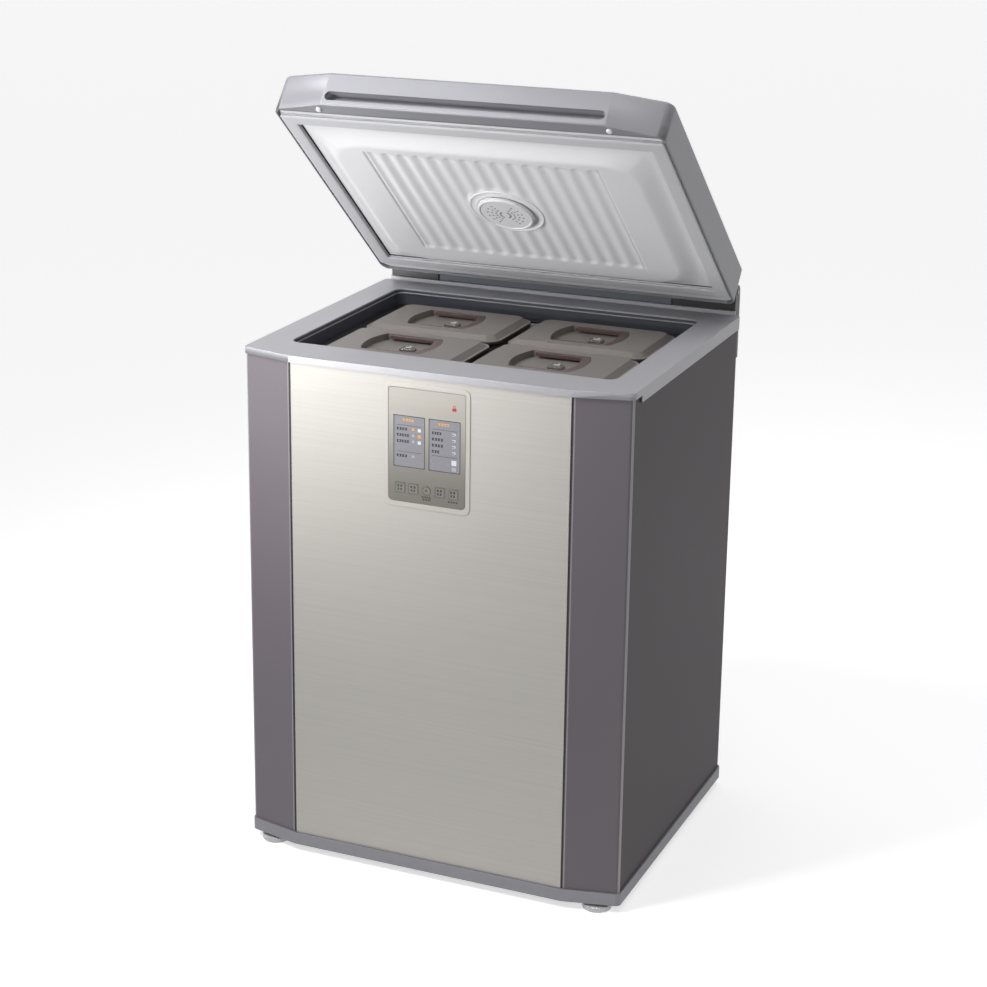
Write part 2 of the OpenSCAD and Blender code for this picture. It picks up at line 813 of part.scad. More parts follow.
// Counterbalance springs, wound on the pins inside the cover
module hinge_springs() {
    color(steel) for (s = [-1, 1]) scale([s, 1, 1]) difference() {
        rod_x(spring_x0(s), spring_x0(s) + spring_len, axis_y, axis_z, spring_r);
        rod_x(spring_x0(s) - cut, spring_x0(s) + spring_len + cut, axis_y, axis_z, pin_r);
    }
}

// Arm on the lid's back at each bracket, with the knuckle that turns on the pin
module hinge_arms() {
    x1 = bracket_x1 - ear_t - 0.5;
    color(black) lid_pose() for (s = [-1, 1]) scale([s, 1, 1]) difference() {
        x0 = bracket_x0(s) + ear_t + 0.5;
        union() {
            block([x0, lid_back, lid_under + 6], [x1, lid_back + 2.5, lid_top - 6]);
            block([x0, lid_back, axis_z - knuckle_r + 1], [x1, axis_y, axis_z + knuckle_r - 1]);
            rod_x(x0, x1, axis_y, axis_z, knuckle_r);
        }
        rod_x(x0 - cut, x1 + cut, axis_y, axis_z, pin_r + pin_clear);
    }
}

// ---- lid ---------------------------------------------------------------

// Inside of the lid's shell, moved inwards by i, between two heights
module lid_cavity(i, z0, z1) {
    intersection() {
        lid_slab(lid_wall + i, z0, z1);
        block([-lid_w, front_y + lid_nose_d + i, z0 - cut], [lid_w, lid_back, z1 + cut]);
    }
}

// Grip recess: a long slot with round ends, sunk into the nose
module grip_slot() {
    z = lid_under + grip_lip_t + grip_h / 2;
    x = (grip_w - grip_h) / 2;
    block([-x, front_y - cut, z - grip_h / 2], [x, front_y + grip_depth, z + grip_h / 2]);
    for (s = [-1, 1]) rod_y(s * x, front_y - cut, front_y + grip_depth, z, grip_h / 2);
}

// Wedge that slopes the underside of the nose up to its front
module nose_wedge() {
    along_x(-lid_w, lid_w) polygon([[front_y - cut, lid_under - cut], [front_y + nose_run, lid_under - cut],
        [front_y + nose_run, lid_under], [front_y, lid_under + nose_rise],
        [front_y - cut, lid_under + nose_rise]]);
}

// Moulded outer shell of the lid
module lid_shell() {
    color(silver) lid_pose() difference() {
        lid_slab(0, lid_under, lid_top);
        lid_cavity(0, lid_under - cut, lid_top - lid_wall);
        grip_slot();
        nose_wedge();
        bumper_rods(lid_under - cut);
    }
}

// Foam that fills the lid, with a pocket for the deodoriser
module lid_foam() {
    color(foam_cream) lid_pose() difference() {
        union() {
            lid_cavity(fit, flange_z + liner_t, lid_top - lid_wall);
            tub_block(plug_w - 2 * liner_t - 8, plug_d - 2 * liner_t - 8, open_r,
                liner_floor, flange_z + liner_t);
        }
        translate([0, cap_y, plug_z - cut]) cylinder(h = 22, r = cap_r - 5);
    }
}

// Middle of the deodoriser
cap_y = open_y - 13;
// Height of the foam's underside, just above the liner's waves
liner_floor = plug_z + wave_h + liner_t + 1;

// Sloping block of the liner's raised middle, moved inwards by i
module plug_block(i, z0, z1) {
    hull() {
        translate([0, gasket_y - open_y, 0])
            tub_block(gasket_in_w - 8 - 2 * i, gasket_in_d - 8 - 2 * i, open_r, z1 - 0.2, z1, $fn = 32);
        tub_block(plug_w - 2 * i, plug_d - 2 * i, open_r - 6, rim_top + 0.6, rim_top + 0.8, $fn = 32);
    }
    tub_block(plug_w - 2 * i, plug_d - 2 * i, open_r - 6, z0, rim_top + 0.7);
}

// Points of the pressed waves, from left to right
function wave_points(n = 8) =
    [for (k = [0:wave_count * n])
        [-wave_field_w / 2 + wave_field_w * k / (wave_count * n), wave_h * (1 - cos(360 * k / n)) / 2]];

// Moulded inner liner, with pressed waves and a hole for the deodoriser
module lid_liner() {
    w = lid_w / 2 - lid_wall - fit;
    color(liner_white) lid_pose() difference() {
        union() {
            lid_cavity(fit, flange_z, flange_z + liner_t);
            plug_block(0, plug_z, flange_z + 0.1);
            translate([0, cap_y, plug_z - cap_ring_h]) cylinder(h = cap_ring_h + 2, r = cap_ring_r);
        }
        difference() {
            plug_block(liner_t, plug_z + wave_h + liner_t, flange_z + liner_t + cut);
            translate([0, cap_y, plug_z]) cylinder(h = liner_floor - plug_z, r = cap_ring_r);
        }
        difference() {
            translate([0, cap_y + wave_field_d / 2, plug_z - 0.01]) rotate([90, 0, 0])
                linear_extrude(wave_field_d)
                    polygon(concat([[-wave_field_w / 2, -cut]], wave_points(), [[wave_field_w / 2, -cut]]));
            translate([0, cap_y, plug_z - 3]) cylinder(h = 10, r = cap_ring_r);
        }
        translate([0, cap_y, plug_z - 3]) cylinder(h = 12, r = cap_r - 7);
    }
}

// Soft seal that runs round the liner's raised middle
module lid_gasket() {
    color(gasket_grey) lid_pose() difference() {
        translate([0, gasket_y, rim_top + gasket_gap]) linear_extrude(flange_z - rim_top - gasket_gap)
            round_rect(gasket_in_w + 2 * gasket_w, gasket_in_d + 2 * gasket_w, gasket_r);
        translate([0, gasket_y, rim_top]) linear_extrude(2 * lid_t)
            round_rect(gasket_in_w, gasket_in_d, gasket_r);
    }
}

// Room of the two bumpers, from height z upwards into the nose
module bumper_rods(z) {
    for (s = [-1, 1]) translate([s * bumper_x, front_y + nose_run - bumper_r - 1.5, z])
        cylinder(h = lid_under + nose_rise + 1 - z, r = bumper_r);
}

// Two small round bumpers under the lid's nose
module lid_bumpers() {
    color("white") lid_pose() bumper_rods(rim_top + 0.4);
}

// Slotted cap of the deodoriser, with its charcoal pack
module filter_cap() {
    spigot_r = cap_r - 7.5;
    color("#CFCFD3") lid_pose() translate([0, cap_y, plug_z - cap_ring_h - fit]) {
        difference() {
            union() {
                translate([0, 0, -cap_h]) cylinder(h = cap_h, r = cap_r);
                cylinder(h = 12, r = spigot_r);
            }
            translate([0, 0, -cap_h + 2.2]) cylinder(h = 20, r = spigot_r - 2);
            for (s = [-1, 1], row = [0:3], a = [-55:22:55])
                rotate([0, 0, 90 - 90 * s + a])
                    translate([8 + 6.5 * row, 0, -cap_h - cut]) cylinder(h = 6, r = 1.1, $fn = 16);
        }
        translate([0, 0, -cap_h + 2.2]) cylinder(h = 10, r = spigot_r - 3);
    }
}

// ---- containers --------------------------------------------------------

// Middle of a container in plan. cx is -1 left or 1 right, cy -1 front or 1 rear
function spot(cx, cy) = [cx * pitch_x / 2, open_y + cy * pitch_y / 2];

// Open box with a round-cornered wall, h high
module container_box(h) {
    w = tray_w - 2 * box_inset;
    d = tray_d - 2 * box_inset;
    r = tray_r - box_inset;
    color(tray_brown) difference() {
        linear_extrude(h) round_rect(w, d, r);
        translate([0, 0, box_t]) linear_extrude(h) round_rect(w - 2 * box_t, d - 2 * box_t, r - box_t);
    }
}

// Handle recess in plan, moved inwards by i: straight sides and bowed ends
module recess_plan(i) {
    reach = recess_w / 2 - i;
    translate([-recess_shift, 0]) intersection() {
        square([2 * reach, recess_d - 2 * i], center = true);
        translate([reach - recess_bow_r, 0]) circle(recess_bow_r);
        translate([recess_bow_r - reach, 0]) circle(recess_bow_r);
    }
}

pivot_x = -recess_shift - recess_w / 2 + pivot_in;
pivot_z = tray_h - handle_clear - handle_t / 2;
valve_w = 24;
valve_d = 16;

// Container lid: an edge, a raised middle, a sunk handle recess and a vent
module container_cover() {
    spigot_w = tray_w - 2 * (box_inset + box_t + fit);
    spigot_d = tray_d - 2 * (box_inset + box_t + fit);
    spigot_r = tray_r - box_inset - box_t - fit;
    color(tray_brown) difference() {
        union() {
            linear_extrude(tray_edge_h) round_rect(tray_w, tray_d, tray_r);
            hull() {
                translate([0, 0, tray_edge_h - 0.2]) linear_extrude(0.2)
                    round_rect(tray_w - 8, tray_d - 8, tray_r - 4, $fn = 32);
                translate([0, 0, tray_h - 0.2]) linear_extrude(0.2)
                    round_rect(tray_w - 2 * plateau_in, tray_d - 2 * plateau_in, tray_r - 8, $fn = 32);
            }
            translate([0, 0, -5]) linear_extrude(6) round_rect(spigot_w, spigot_d, spigot_r);
        }
        difference() {
            translate([0, 0, -6]) linear_extrude(6 + tray_h - tray_t)
                round_rect(tray_w - 2 * plateau_in - 2 * tray_t, tray_d - 2 * plateau_in - 2 * tray_t,
                    tray_r - 10);
            linear_extrude(tray_h) recess_plan(-tray_t);
        }
        translate([0, 0, -6]) linear_extrude(6 + tray_h - recess_h - tray_t) recess_plan(0);
        translate([0, 0, tray_h - recess_h]) linear_extrude(recess_h + cut) recess_plan(0);
        rod_y(pivot_x, -recess_d / 2 - tray_t - cut, recess_d / 2 + tray_t + cut, pivot_z,
            pivot_r + pivot_clear);
    }
    color(clear_grey) translate([6, 0, tray_h - recess_h]) {
        block([-valve_w / 2, -valve_d / 2, 0], [valve_w / 2, valve_d / 2, 4]);
        translate([valve_w / 4, 0, 4]) cylinder(h = 3.5, r = 3);
    }
}

// Folding handle: two arms on pivots and a bowed grip band
module container_handle() {
    low = tray_h - handle_clear - handle_t;
    half = recess_d / 2 - handle_clear;
    color(handle_brown) union() {
        translate([0, 0, low]) linear_extrude(handle_t) difference() {
            intersection() {
                recess_plan(handle_clear);
                translate([pivot_x, -recess_d]) square([recess_w, 2 * recess_d]);
            }
            difference() {
                translate([pivot_x - cut, -half + handle_arm])
                    square([recess_w, 2 * (half - handle_arm)]);
                difference() {
                    translate([0, -recess_d]) square([recess_w, 2 * recess_d]);
                    translate([recess_w / 2 - recess_shift - handle_clear - handle_band - recess_bow_r, 0])
                        circle(recess_bow_r);
                }
            }
        }
        for (s = [-1, 1]) {
            y = s * (half - handle_arm / 2);
            rod_y(pivot_x, y - handle_arm / 2, y + handle_arm / 2, pivot_z, handle_t / 2);
            rod_y(pivot_x, s > 0 ? half - 1 : -recess_d / 2 - tray_t,
                s > 0 ? recess_d / 2 + tray_t : -half + 1, pivot_z, pivot_r);
        }
    }
}

module upper_box(cx, cy) {
    translate([spot(cx, cy)[0], spot(cx, cy)[1], upper_z]) container_box(box_h);
}

module upper_cover(cx, cy) {
    translate([spot(cx, cy)[0], spot(cx, cy)[1], upper_z + box_h]) container_cover();
}

module upper_handle(cx, cy) {
    translate([spot(cx, cy)[0], spot(cx, cy)[1], upper_z + box_h]) container_handle();
}

// A container of the lower layer: box, lid and handle
module lower_container(cx, cy) {
    translate([spot(cx, cy)[0], spot(cx, cy)[1], lower_z]) {
        container_box(box_h - fit);
        translate([0, 0, box_h]) {
            container_cover();
            container_handle();
        }
    }
}

// ---- cooling unit ------------------------------------------------------

comp_z = floor_top + mount_h;
boss_w = 46;
stub_l = 14;

// Compressor: a domed steel shell on a foot plate, with tube stubs and a boss
module compressor() {
    base_r = comp_r * 0.82;
    dome = comp_h * 0.3;
    profile = concat([[0, 0], [base_r, 0], [comp_r, comp_h * 0.16], [comp_r, comp_h - dome]],
        [for (a = [15:15:90]) [comp_r * cos(a), comp_h - dome + dome * sin(a)]]);
    color(unit_black) difference() {
        union() {
            translate([comp_x, comp_y, comp_z + plate_lift]) rotate_extrude() polygon(profile);
            block([comp_x - comp_r - 12, comp_y - comp_r * 0.72 - 12, comp_z],
                [comp_x + comp_r + 12, comp_y + comp_r * 0.72 + 12, comp_z + plate_lift]);
            block([comp_x - boss_w / 2, comp_y - comp_r - 6, comp_z + 40],
                [comp_x + boss_w / 2, comp_y - comp_r / 2, comp_z + 86]);
            rod_x(comp_x - comp_r - stub_l, comp_x - comp_r / 2, comp_y, comp_z + 70, tube_r + 1);
            rod_x(comp_x - comp_r - stub_l, comp_x - comp_r / 2, comp_y + 30, comp_z + 50, tube_r + 1);
        }
        for (p = mount_spots) translate([p[0], p[1], comp_z - cut])
            cylinder(h = plate_lift + 2 * cut, r = stud_r + 0.5);
    }
}

// Four rubber bushes under the compressor
module compressor_mounts() {
    color(black) for (p = mount_spots) translate([p[0], p[1], floor_top]) difference() {
        cylinder(h = mount_h, r = mount_r);
        translate([0, 0, -cut]) cylinder(h = mount_h + 2 * cut, r = stud_r);
    }
}

// Plastic box with the compressor's relay
module terminal_box() {
    color(black) block([comp_x - boss_w / 2 - 4, comp_y - comp_r - 36, comp_z + 36],
        [comp_x + boss_w / 2 + 4, comp_y - comp_r - 6, comp_z + 90]);
}

// Height of condenser tube k above the floor plate
function cond_z(k) = floor_top + cond_foot + cond_pitch * (k + 0.5);

// Finned condenser: upright fins on tubes that run front to back
module condenser() {
    y0 = unit_y - cond_l / 2;
    y1 = unit_y + cond_l / 2;
    step = cond_l / (fin_count - 1);
    color(steel) union() {
        for (k = [0:fin_count - 1]) {
            ends = k == 0 || k == fin_count - 1;
            t = ends ? 2 : 0.8;
            block([cond_x - cond_w / 2, y0 + k * step - t / 2, floor_top + (ends ? 0 : cond_foot)],
                [cond_x + cond_w / 2, y0 + k * step + t / 2, floor_top + cond_foot + cond_h]);
        }
        for (k = [0:cond_rows - 1]) rod_y(cond_x, y0 - 6, y1 + 6, cond_z(k), tube_r + 1);
        for (k = [0:cond_rows - 2]) translate([cond_x, k % 2 == 0 ? y1 + 6 : y0 - 6,
            (cond_z(k) + cond_z(k + 1)) / 2]) rotate([0, -90, k % 2 == 0 ? 0 : 180])
                rotate_extrude(angle = 180) translate([cond_pitch / 2, 0]) circle(tube_r + 1);
    }
}

// Square fan frame with the motor held by four struts
module fan_frame() {
    color(black) translate([fan_x, unit_y, fan_z]) union() {
        difference() {
            block([-fan_t / 2, -fan_s / 2, -fan_s / 2], [fan_t / 2, fan_s / 2, fan_s / 2]);
            rod_x(-fan_t, fan_t, 0, 0, blade_r + 3);
        }
        for (a = [45:90:315]) rotate([a, 0, 0])
            block([fan_t / 2 - 0.5, -3, 6], [fan_t / 2 + 4, 3, blade_r + 8]);
        rod_x(fan_t / 2 + 0.5, fan_t / 2 + 34, 0, 0, hub_r + 2);
        rod_x(-fan_t / 2 - 2, fan_t / 2 + 2, 0, 0, shaft_r);
    }
}

// Fan hub and pitched blades, turning on the motor's shaft
module fan_blades() {
    color(dark_silver) translate([fan_x, unit_y, fan_z]) difference() {
        union() {
            rod_x(-fan_t / 2, fan_t / 2 - 1, 0, 0, hub_r);
            for (k = [0:blade_count - 1]) rotate([k * 360 / blade_count, 0, 0])
                translate([-0.5, 0, 0]) rotate([0, 0, 32]) intersection() {
                    block([-0.8, -10, hub_r - 3], [0.8, 10, blade_r + 2]);
                    rotate([0, 0, -32]) rod_x(-fan_t, fan_t, 0, 0, blade_r);
                }
        }
        rod_x(-fan_t, fan_t, 0, 0, shaft_r + 0.06);
    }
}

// Tube of radius r through the points, with ball corners
module pipe(points, r) {
    for (k = [0:len(points) - 2]) {
        way = points[k + 1] - points[k];
        translate(points[k]) rotate([0, acos(way[2] / norm(way)), atan2(way[1], way[0])])
            cylinder(h = norm(way), r = r);
        if (k > 0) translate(points[k]) sphere(r);
    }
}

// Length and radius of the drier
drier_l = 80;
drier_r = tube_r + 5;

// Refrigerant tubes: suction and discharge, and the drier's line
module refrigerant_pipes() {
    x = comp_x - comp_r - stub_l;
    out_x = fan_x + fan_t / 2 + 46;
    y_in = unit_y - cond_l / 2 - 6;
    cold_z = unit_top;
    color(copper) pipe([[x, comp_y, comp_z + 70], [x - 14, comp_y, comp_z + 70],
        [x - 14, comp_y, cold_z]], tube_r);
    color(copper) pipe([[x, comp_y + 30, comp_z + 50], [out_x, comp_y + 30, comp_z + 50],
        [out_x, y_in - 22, comp_z + 50], [out_x, y_in - 22, cond_z(0)],
        [cond_x, y_in - 22, cond_z(0)], [cond_x, y_in, cond_z(0)]], tube_r);
    top = cond_z(cond_rows - 1);
    y_out = unit_y + cond_l / 2 + 6;
    y_drier = y_out + 14;
    drier_x0 = cond_x + cond_w / 2 + 22;
    drier_x1 = drier_x0 + drier_l;
    color(copper) union() {
        pipe([[cond_x, y_out, top], [cond_x, y_drier, top], [drier_x0, y_drier, top]], tube_r);
        rod_x(drier_x0, drier_x1, y_drier, top, drier_r);
        pipe([[drier_x1, y_drier, top], [drier_x1 + 16, y_drier, top],
            [drier_x1 + 16, y_drier, cold_z]], tube_r);
    }
}

// Rear cover's plate, its overlap onto the back sheet, and its slots
cover_plate_t = 1.5;
cover_lap = 12;
slot_w = 5;
slot_pitch = 12;
slot_field = 190;

// Rear cover of the cooling unit, with two fields of slots
module machine_cover() {
    y = back_y - panel_inset;
    count = floor(slot_field / slot_pitch);
    color(black) difference() {
        block([-unit_open_w / 2 - cover_lap, y, unit_open_z0 - 10],
            [unit_open_w / 2 + cover_lap, y + cover_plate_t, unit_open_z1 + 6]);
        for (s = [-1, 1], k = [0:count - 1])
            translate([s * unit_open_w / 4 - slot_field / 2 + k * slot_pitch, 0, 0])
                block([0, y - cut, unit_open_z0 + 24], [slot_w, y + 3, unit_open_z1 - 20]);
        rod_y(inlet_x, y - cut, y + 3, inlet_z, inlet_r + 4);
    }
}

// Bush that the mains lead would pass through
module cord_gland() {
    y = back_y - panel_inset + cover_plate_t;
    color("#3A3A3C") difference() {
        union() {
            rod_y(inlet_x, y, y + 1.4, inlet_z, inlet_r + 7);
            rod_y(inlet_x, y - 14, y + 0.5, inlet_z, inlet_r + 4 - 0.2);
        }
        rod_y(inlet_x, y - 20, y + 5, inlet_z, inlet_r);
    }
}

// ---- feet and rollers --------------------------------------------------

// Levelling foot: a round pad on a screw
module foot(s) {
    color(foot_grey) translate([s * foot_x, foot_y, 0]) union() {
        cylinder(h = foot_pad_h, r = foot_r);
        cylinder(h = floor_top + 22, r = foot_screw_r);
    }
}

axle_r = 3;
bracket_side = 2.5;

// Bracket under the floor plate for each roller, with its axle
module roller_brackets() {
    x = roller_w / 2 + 0.6;
    color(steel) for (s = [-1, 1]) translate([s * roller_x, roller_y, 0]) {
        difference() {
            union() {
                block([-x - bracket_side, -roller_r, base_top - 2], [x + bracket_side, roller_r, base_top]);
                for (sx = [-1, 1]) scale([sx, 1, 1])
                    block([x, -8, roller_r - 6], [x + bracket_side, 8, base_top]);
            }
            rod_x(-x - 10, x + 10, 0, roller_r, axle_r);
        }
        rod_x(-x - bracket_side - 1, x + bracket_side + 1, 0, roller_r, axle_r);
    }
}

module roller(s) {
    color(black) translate([s * roller_x, roller_y, 0]) difference() {
        rod_x(-roller_w / 2, roller_w / 2, 0, roller_r, roller_r);
        rod_x(-roller_w, roller_w, 0, roller_r, axle_r + 0.06);
    }
}

// ---- what is drawn -----------------------------------------------------

base_frame();
floor_plate();
cabinet_wrap();
front_panel();
corner_strips();
insulation_foam();
inner_tub();
evaporator_coil();
top_frame();
tub_collar();
control_bezel();
control_plate();
display_windows();
control_board();
hinge_cover();
hinge_brackets();
hinge_pins();
hinge_springs();
compressor();
compressor_mounts();
condenser();
fan_frame();
refrigerant_pipes();
machine_cover();
terminal_box();
cord_gland();
roller_brackets();
lid_shell();
lid_foam();
lid_liner();
lid_gasket();
lid_bumpers();
hinge_arms();
filter_cap();
for (n = [1:5]) control_key(n);
for (s = foot_spots) foot(s[0]);
for (s = foot_spots) roller(s[0]);
fan_blades();
for (cx = [-1, 1], cy = [-1, 1]) {
    place = str(cy < 0 ? "front_" : "rear_", cx < 0 ? "left" : "right");
    upper_box(cx, cy);
    upper_cover(cx, cy);
    upper_handle(cx, cy);
    lower_container(cx, cy);
}
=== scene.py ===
# %% [markdown]
# # A top-opening kimchi refrigerator
#
# The object is a low chest cabinet. A thick lid turns on hinges at the back, and
# four brown food boxes stand in the cold tub. The sizes, the places and the
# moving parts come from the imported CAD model, so this script only dresses it:
# it rounds edges, adds the small mouldings, and gives each surface its material.

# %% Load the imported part
import json
import math

import bmesh
import bpy
from mathutils import Matrix, Vector


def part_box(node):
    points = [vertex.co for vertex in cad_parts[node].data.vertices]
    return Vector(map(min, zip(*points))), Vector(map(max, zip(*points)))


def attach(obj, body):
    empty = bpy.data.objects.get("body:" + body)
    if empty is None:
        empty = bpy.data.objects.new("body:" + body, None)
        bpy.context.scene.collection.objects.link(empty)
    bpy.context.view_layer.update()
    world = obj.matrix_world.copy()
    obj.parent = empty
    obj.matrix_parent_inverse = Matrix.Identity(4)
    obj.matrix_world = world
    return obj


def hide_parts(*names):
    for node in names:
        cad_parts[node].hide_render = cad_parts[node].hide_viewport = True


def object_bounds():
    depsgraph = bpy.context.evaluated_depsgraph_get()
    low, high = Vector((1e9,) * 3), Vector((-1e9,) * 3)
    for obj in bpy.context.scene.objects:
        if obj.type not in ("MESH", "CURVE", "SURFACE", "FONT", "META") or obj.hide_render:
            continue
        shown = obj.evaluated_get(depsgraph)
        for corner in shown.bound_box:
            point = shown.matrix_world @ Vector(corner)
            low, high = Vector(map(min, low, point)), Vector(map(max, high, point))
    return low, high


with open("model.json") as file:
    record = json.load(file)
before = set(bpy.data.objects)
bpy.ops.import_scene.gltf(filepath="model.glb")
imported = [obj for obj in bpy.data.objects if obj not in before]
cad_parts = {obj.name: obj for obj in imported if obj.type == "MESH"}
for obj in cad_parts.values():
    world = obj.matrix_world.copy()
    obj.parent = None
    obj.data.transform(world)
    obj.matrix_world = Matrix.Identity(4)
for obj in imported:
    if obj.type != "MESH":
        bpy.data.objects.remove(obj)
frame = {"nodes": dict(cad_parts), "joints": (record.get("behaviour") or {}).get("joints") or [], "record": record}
cad_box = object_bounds()
size = [round(high - low, 4) for low, high in zip(*cad_box)]
print("CAD box in metres:", size, "with", len(frame["nodes"]), "nodes")

# %% [markdown]
# ## Units and named places
#
# Blender works in metres, while a maker thinks in millimetres, so MM turns one
# into the other. Places are read from the boxes of the CAD nodes. A piece that is
# made here then stays on what carries it.

# %% Places that several pieces share
MM = 0.001
plate_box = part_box("control_plate")
rim_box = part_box("top_frame")
joints = {joint["name"]: joint for joint in frame["joints"]}
hinge = Vector(joints["lid_hinge"]["pos_m"])
lid_angle = math.radians(-joints["lid_hinge"]["range_deg"][0])

# A point of the shut lid is turned by this matrix to where the open lid has it
open_lid = (Matrix.Translation(hinge) @ Matrix.Rotation(-lid_angle, 4, "X")
            @ Matrix.Translation(-hinge))
print("Rim top at", round(rim_box[1].z, 4), "m, lid open by",
      round(math.degrees(lid_angle)), "degrees")

# %% [markdown]
# ## Camera
#
# A long lens looks down a little from the right of the front. Its place and lens
# were fitted to the straight edges of the cabinet in the photograph. The picture
# is a crop, so the optical axis isn't in its middle, and the camera's shift holds
# that offset.

# %% Camera
PHOTO_PX = 987
FOCAL_PX = 2303.6
AXIS_OFFSET_PX = (-74.7, -47.0)
AZIMUTH, ELEVATION, ROLL = (math.radians(a) for a in (24.436, 17.11, 0.192))
TARGET = Vector((0, -0.0135, 0.412))
DISTANCE = 3.5323
SIDESTEP, RISE = -0.11435, 0.1833

back = Vector((math.sin(AZIMUTH) * math.cos(ELEVATION),
               -math.cos(AZIMUTH) * math.cos(ELEVATION), math.sin(ELEVATION)))
right = Vector((0, 0, 1)).cross(back).normalized()
up = back.cross(right)
right, up = (right * math.cos(ROLL) + up * math.sin(ROLL),
             up * math.cos(ROLL) - right * math.sin(ROLL))

camera_data = bpy.data.cameras.new("photo_camera")
camera_data.sensor_width = 36
camera_data.lens = FOCAL_PX / PHOTO_PX * camera_data.sensor_width
camera_data.shift_x = -AXIS_OFFSET_PX[0] / PHOTO_PX
camera_data.shift_y = AXIS_OFFSET_PX[1] / PHOTO_PX
camera_data.clip_end = 50
camera = bpy.data.objects.new("photo_camera", camera_data)
turn = Matrix((right, up, back)).transposed().to_4x4()
stand = TARGET + back * DISTANCE + right * SIDESTEP + up * RISE
camera.matrix_world = Matrix.Translation(stand) @ turn
bpy.context.scene.collection.objects.link(camera)
bpy.context.scene.camera = camera
print("Lens", round(camera_data.lens, 1), "mm, camera at", [round(c, 3) for c in camera.location])

# %% [markdown]
# ## Helpers for materials
#
# Hex colours are written as a screen shows them (sRGB), and Blender's shaders
# want linear light, so one function converts them. A second one adds a node, sets
# it and links it. Two short ones set a texture's scale and start a material.

# %% Colours and nodes
def linear(colour):
    """Turn an sRGB hex colour into the linear RGBA that shaders use."""
    parts = [int(colour[i:i + 2], 16) / 255 for i in (1, 3, 5)]
    return [c / 12.92 if c <= 0.04045 else ((c + 0.055) / 1.055) ** 2.4 for c in parts] + [1.0]


def add(material, kind, inputs=None, **settings):
    """Add a shader node. An input's value is a number, a colour or another node's output."""
    tree = material.node_tree
    made = tree.nodes.new("ShaderNode" + kind)
    for name, value in settings.items():
        setattr(made, name, value)
    for socket, value in (inputs or {}).items():
        if isinstance(value, bpy.types.NodeSocket):
            tree.links.new(value, made.inputs[socket])
        else:
            made.inputs[socket].default_value = value
    return made


def per(mm):
    """Texture scale that gives one feature every so many millimetres."""
    return 1000 / mm


def new_material(name, **shader_values):
    """Start a material with one Principled shader, and return both."""
    material = bpy.data.materials.new(name)
    material.use_nodes = True
    shader = material.node_tree.nodes["Principled BSDF"]
    for socket, value in shader_values.items():
        shader.inputs[socket.replace("_", " ")].default_value = value
    return material, shader


print("White turns into", [round(c, 2) for c in linear("#FFFFFF")])

# %% [markdown]
# ## Floor, background and light
#
# The photograph is a catalogue cut-out: pale floor, white background, and soft
# light from the upper left that fades towards the foot of the cabinet. A lamp with
# a narrow spread makes that gradient, a low one shines up under the open lid, one
# above lights the back, and the world adds the rest. The background has its full
# white only for the camera, in reflections and through clear plastic, so it lights
# the object far less. The lamps were fitted to this one photograph.

# %% World and lamps
WORLD_LIGHT, FLOOR_GLOW, FLOOR_HALF = 0.30, 0.6, 60


def seen_directly(owner):
    """1 for a ray of the camera, of a reflection or through clear plastic, and else 0."""
    rays = add(owner, "LightPath")
    seen = add(owner, "Math", {0: rays.outputs["Is Camera Ray"],
                               1: rays.outputs["Is Glossy Ray"]}, operation="MAXIMUM")
    seen = add(owner, "Math", {0: seen.outputs[0],
                               1: rays.outputs["Is Transmission Ray"]}, operation="MAXIMUM")
    return seen.outputs[0]


def white_background(strength):
    """World light of one strength, seen as white by the camera and in reflections."""
    world = bpy.data.worlds.new("studio")
    world.use_nodes = True
    background = world.node_tree.nodes["Background"]
    level = add(world, "MapRange", {"Value": seen_directly(world),
                                    "To Min": strength, "To Max": 1.0})
    background.inputs["Color"].default_value = linear("#FFFFFF")
    world.node_tree.links.new(level.outputs["Result"], background.inputs["Strength"])
    return world


def soft_lamp(name, place, aim, width, watts, spread=180):
    """Square area lamp at one place that points at another, with its beam's spread in degrees."""
    data = bpy.data.lights.new(name, "AREA")
    data.size = width
    data.energy = watts
    data.spread = math.radians(spread)
    lamp = bpy.data.objects.new(name, data)
    lamp.location = place
    lamp.rotation_euler = (Vector(place) - Vector(aim)).to_track_quat("Z", "Y").to_euler()
    bpy.context.scene.collection.objects.link(lamp)


bpy.context.scene.world = white_background(WORLD_LIGHT)
soft_lamp("key_upper_left", (-1.3, -1.5, 2.7), (-0.22, -0.2, 0.80), 1.0, 7.0, spread=60)
soft_lamp("under_lid", (-1.1, -1.6, 0.74), (-0.08, 0.0, 0.98), 0.5, 1.7, spread=40)
soft_lamp("top_back", (0.3, 0.4, 2.6), (0, 0, 0.8), 1.4, 9)
bpy.context.scene.view_settings.view_transform = "Standard"

# %% Floor
floor_mesh = bpy.data.meshes.new("floor")
floor_shape = bmesh.new()
bmesh.ops.create_grid(floor_shape, x_segments=1, y_segments=1, size=FLOOR_HALF)
floor_shape.to_mesh(floor_mesh)
floor = bpy.data.objects.new("floor", floor_mesh)
bpy.context.scene.collection.objects.link(floor)
floor_paint, floor_shader = new_material("studio_floor", Base_Color=linear("#F4F4F4"),
                                         Roughness=0.9)
floor_shader.inputs["Emission Color"].default_value = linear("#FFFFFF")
lift = add(floor_paint, "MapRange", {"Value": seen_directly(floor_paint), "To Max": FLOOR_GLOW})
floor_paint.node_tree.links.new(lift.outputs["Result"], floor_shader.inputs["Emission Strength"])
floor_mesh.materials.append(floor_paint)
print("Stage ready with", len(bpy.data.lights), "lamps")

# %% [markdown]
# ## Materials
#
# The outside is mostly moulded ABS with a fine metallic tint, film-coated steel
# sheet and one brushed stainless sheet. Each function below makes one family of
# finish. The patterns run on Object coordinates, and every piece has its place in
# its mesh, so a pattern has the same real size everywhere.

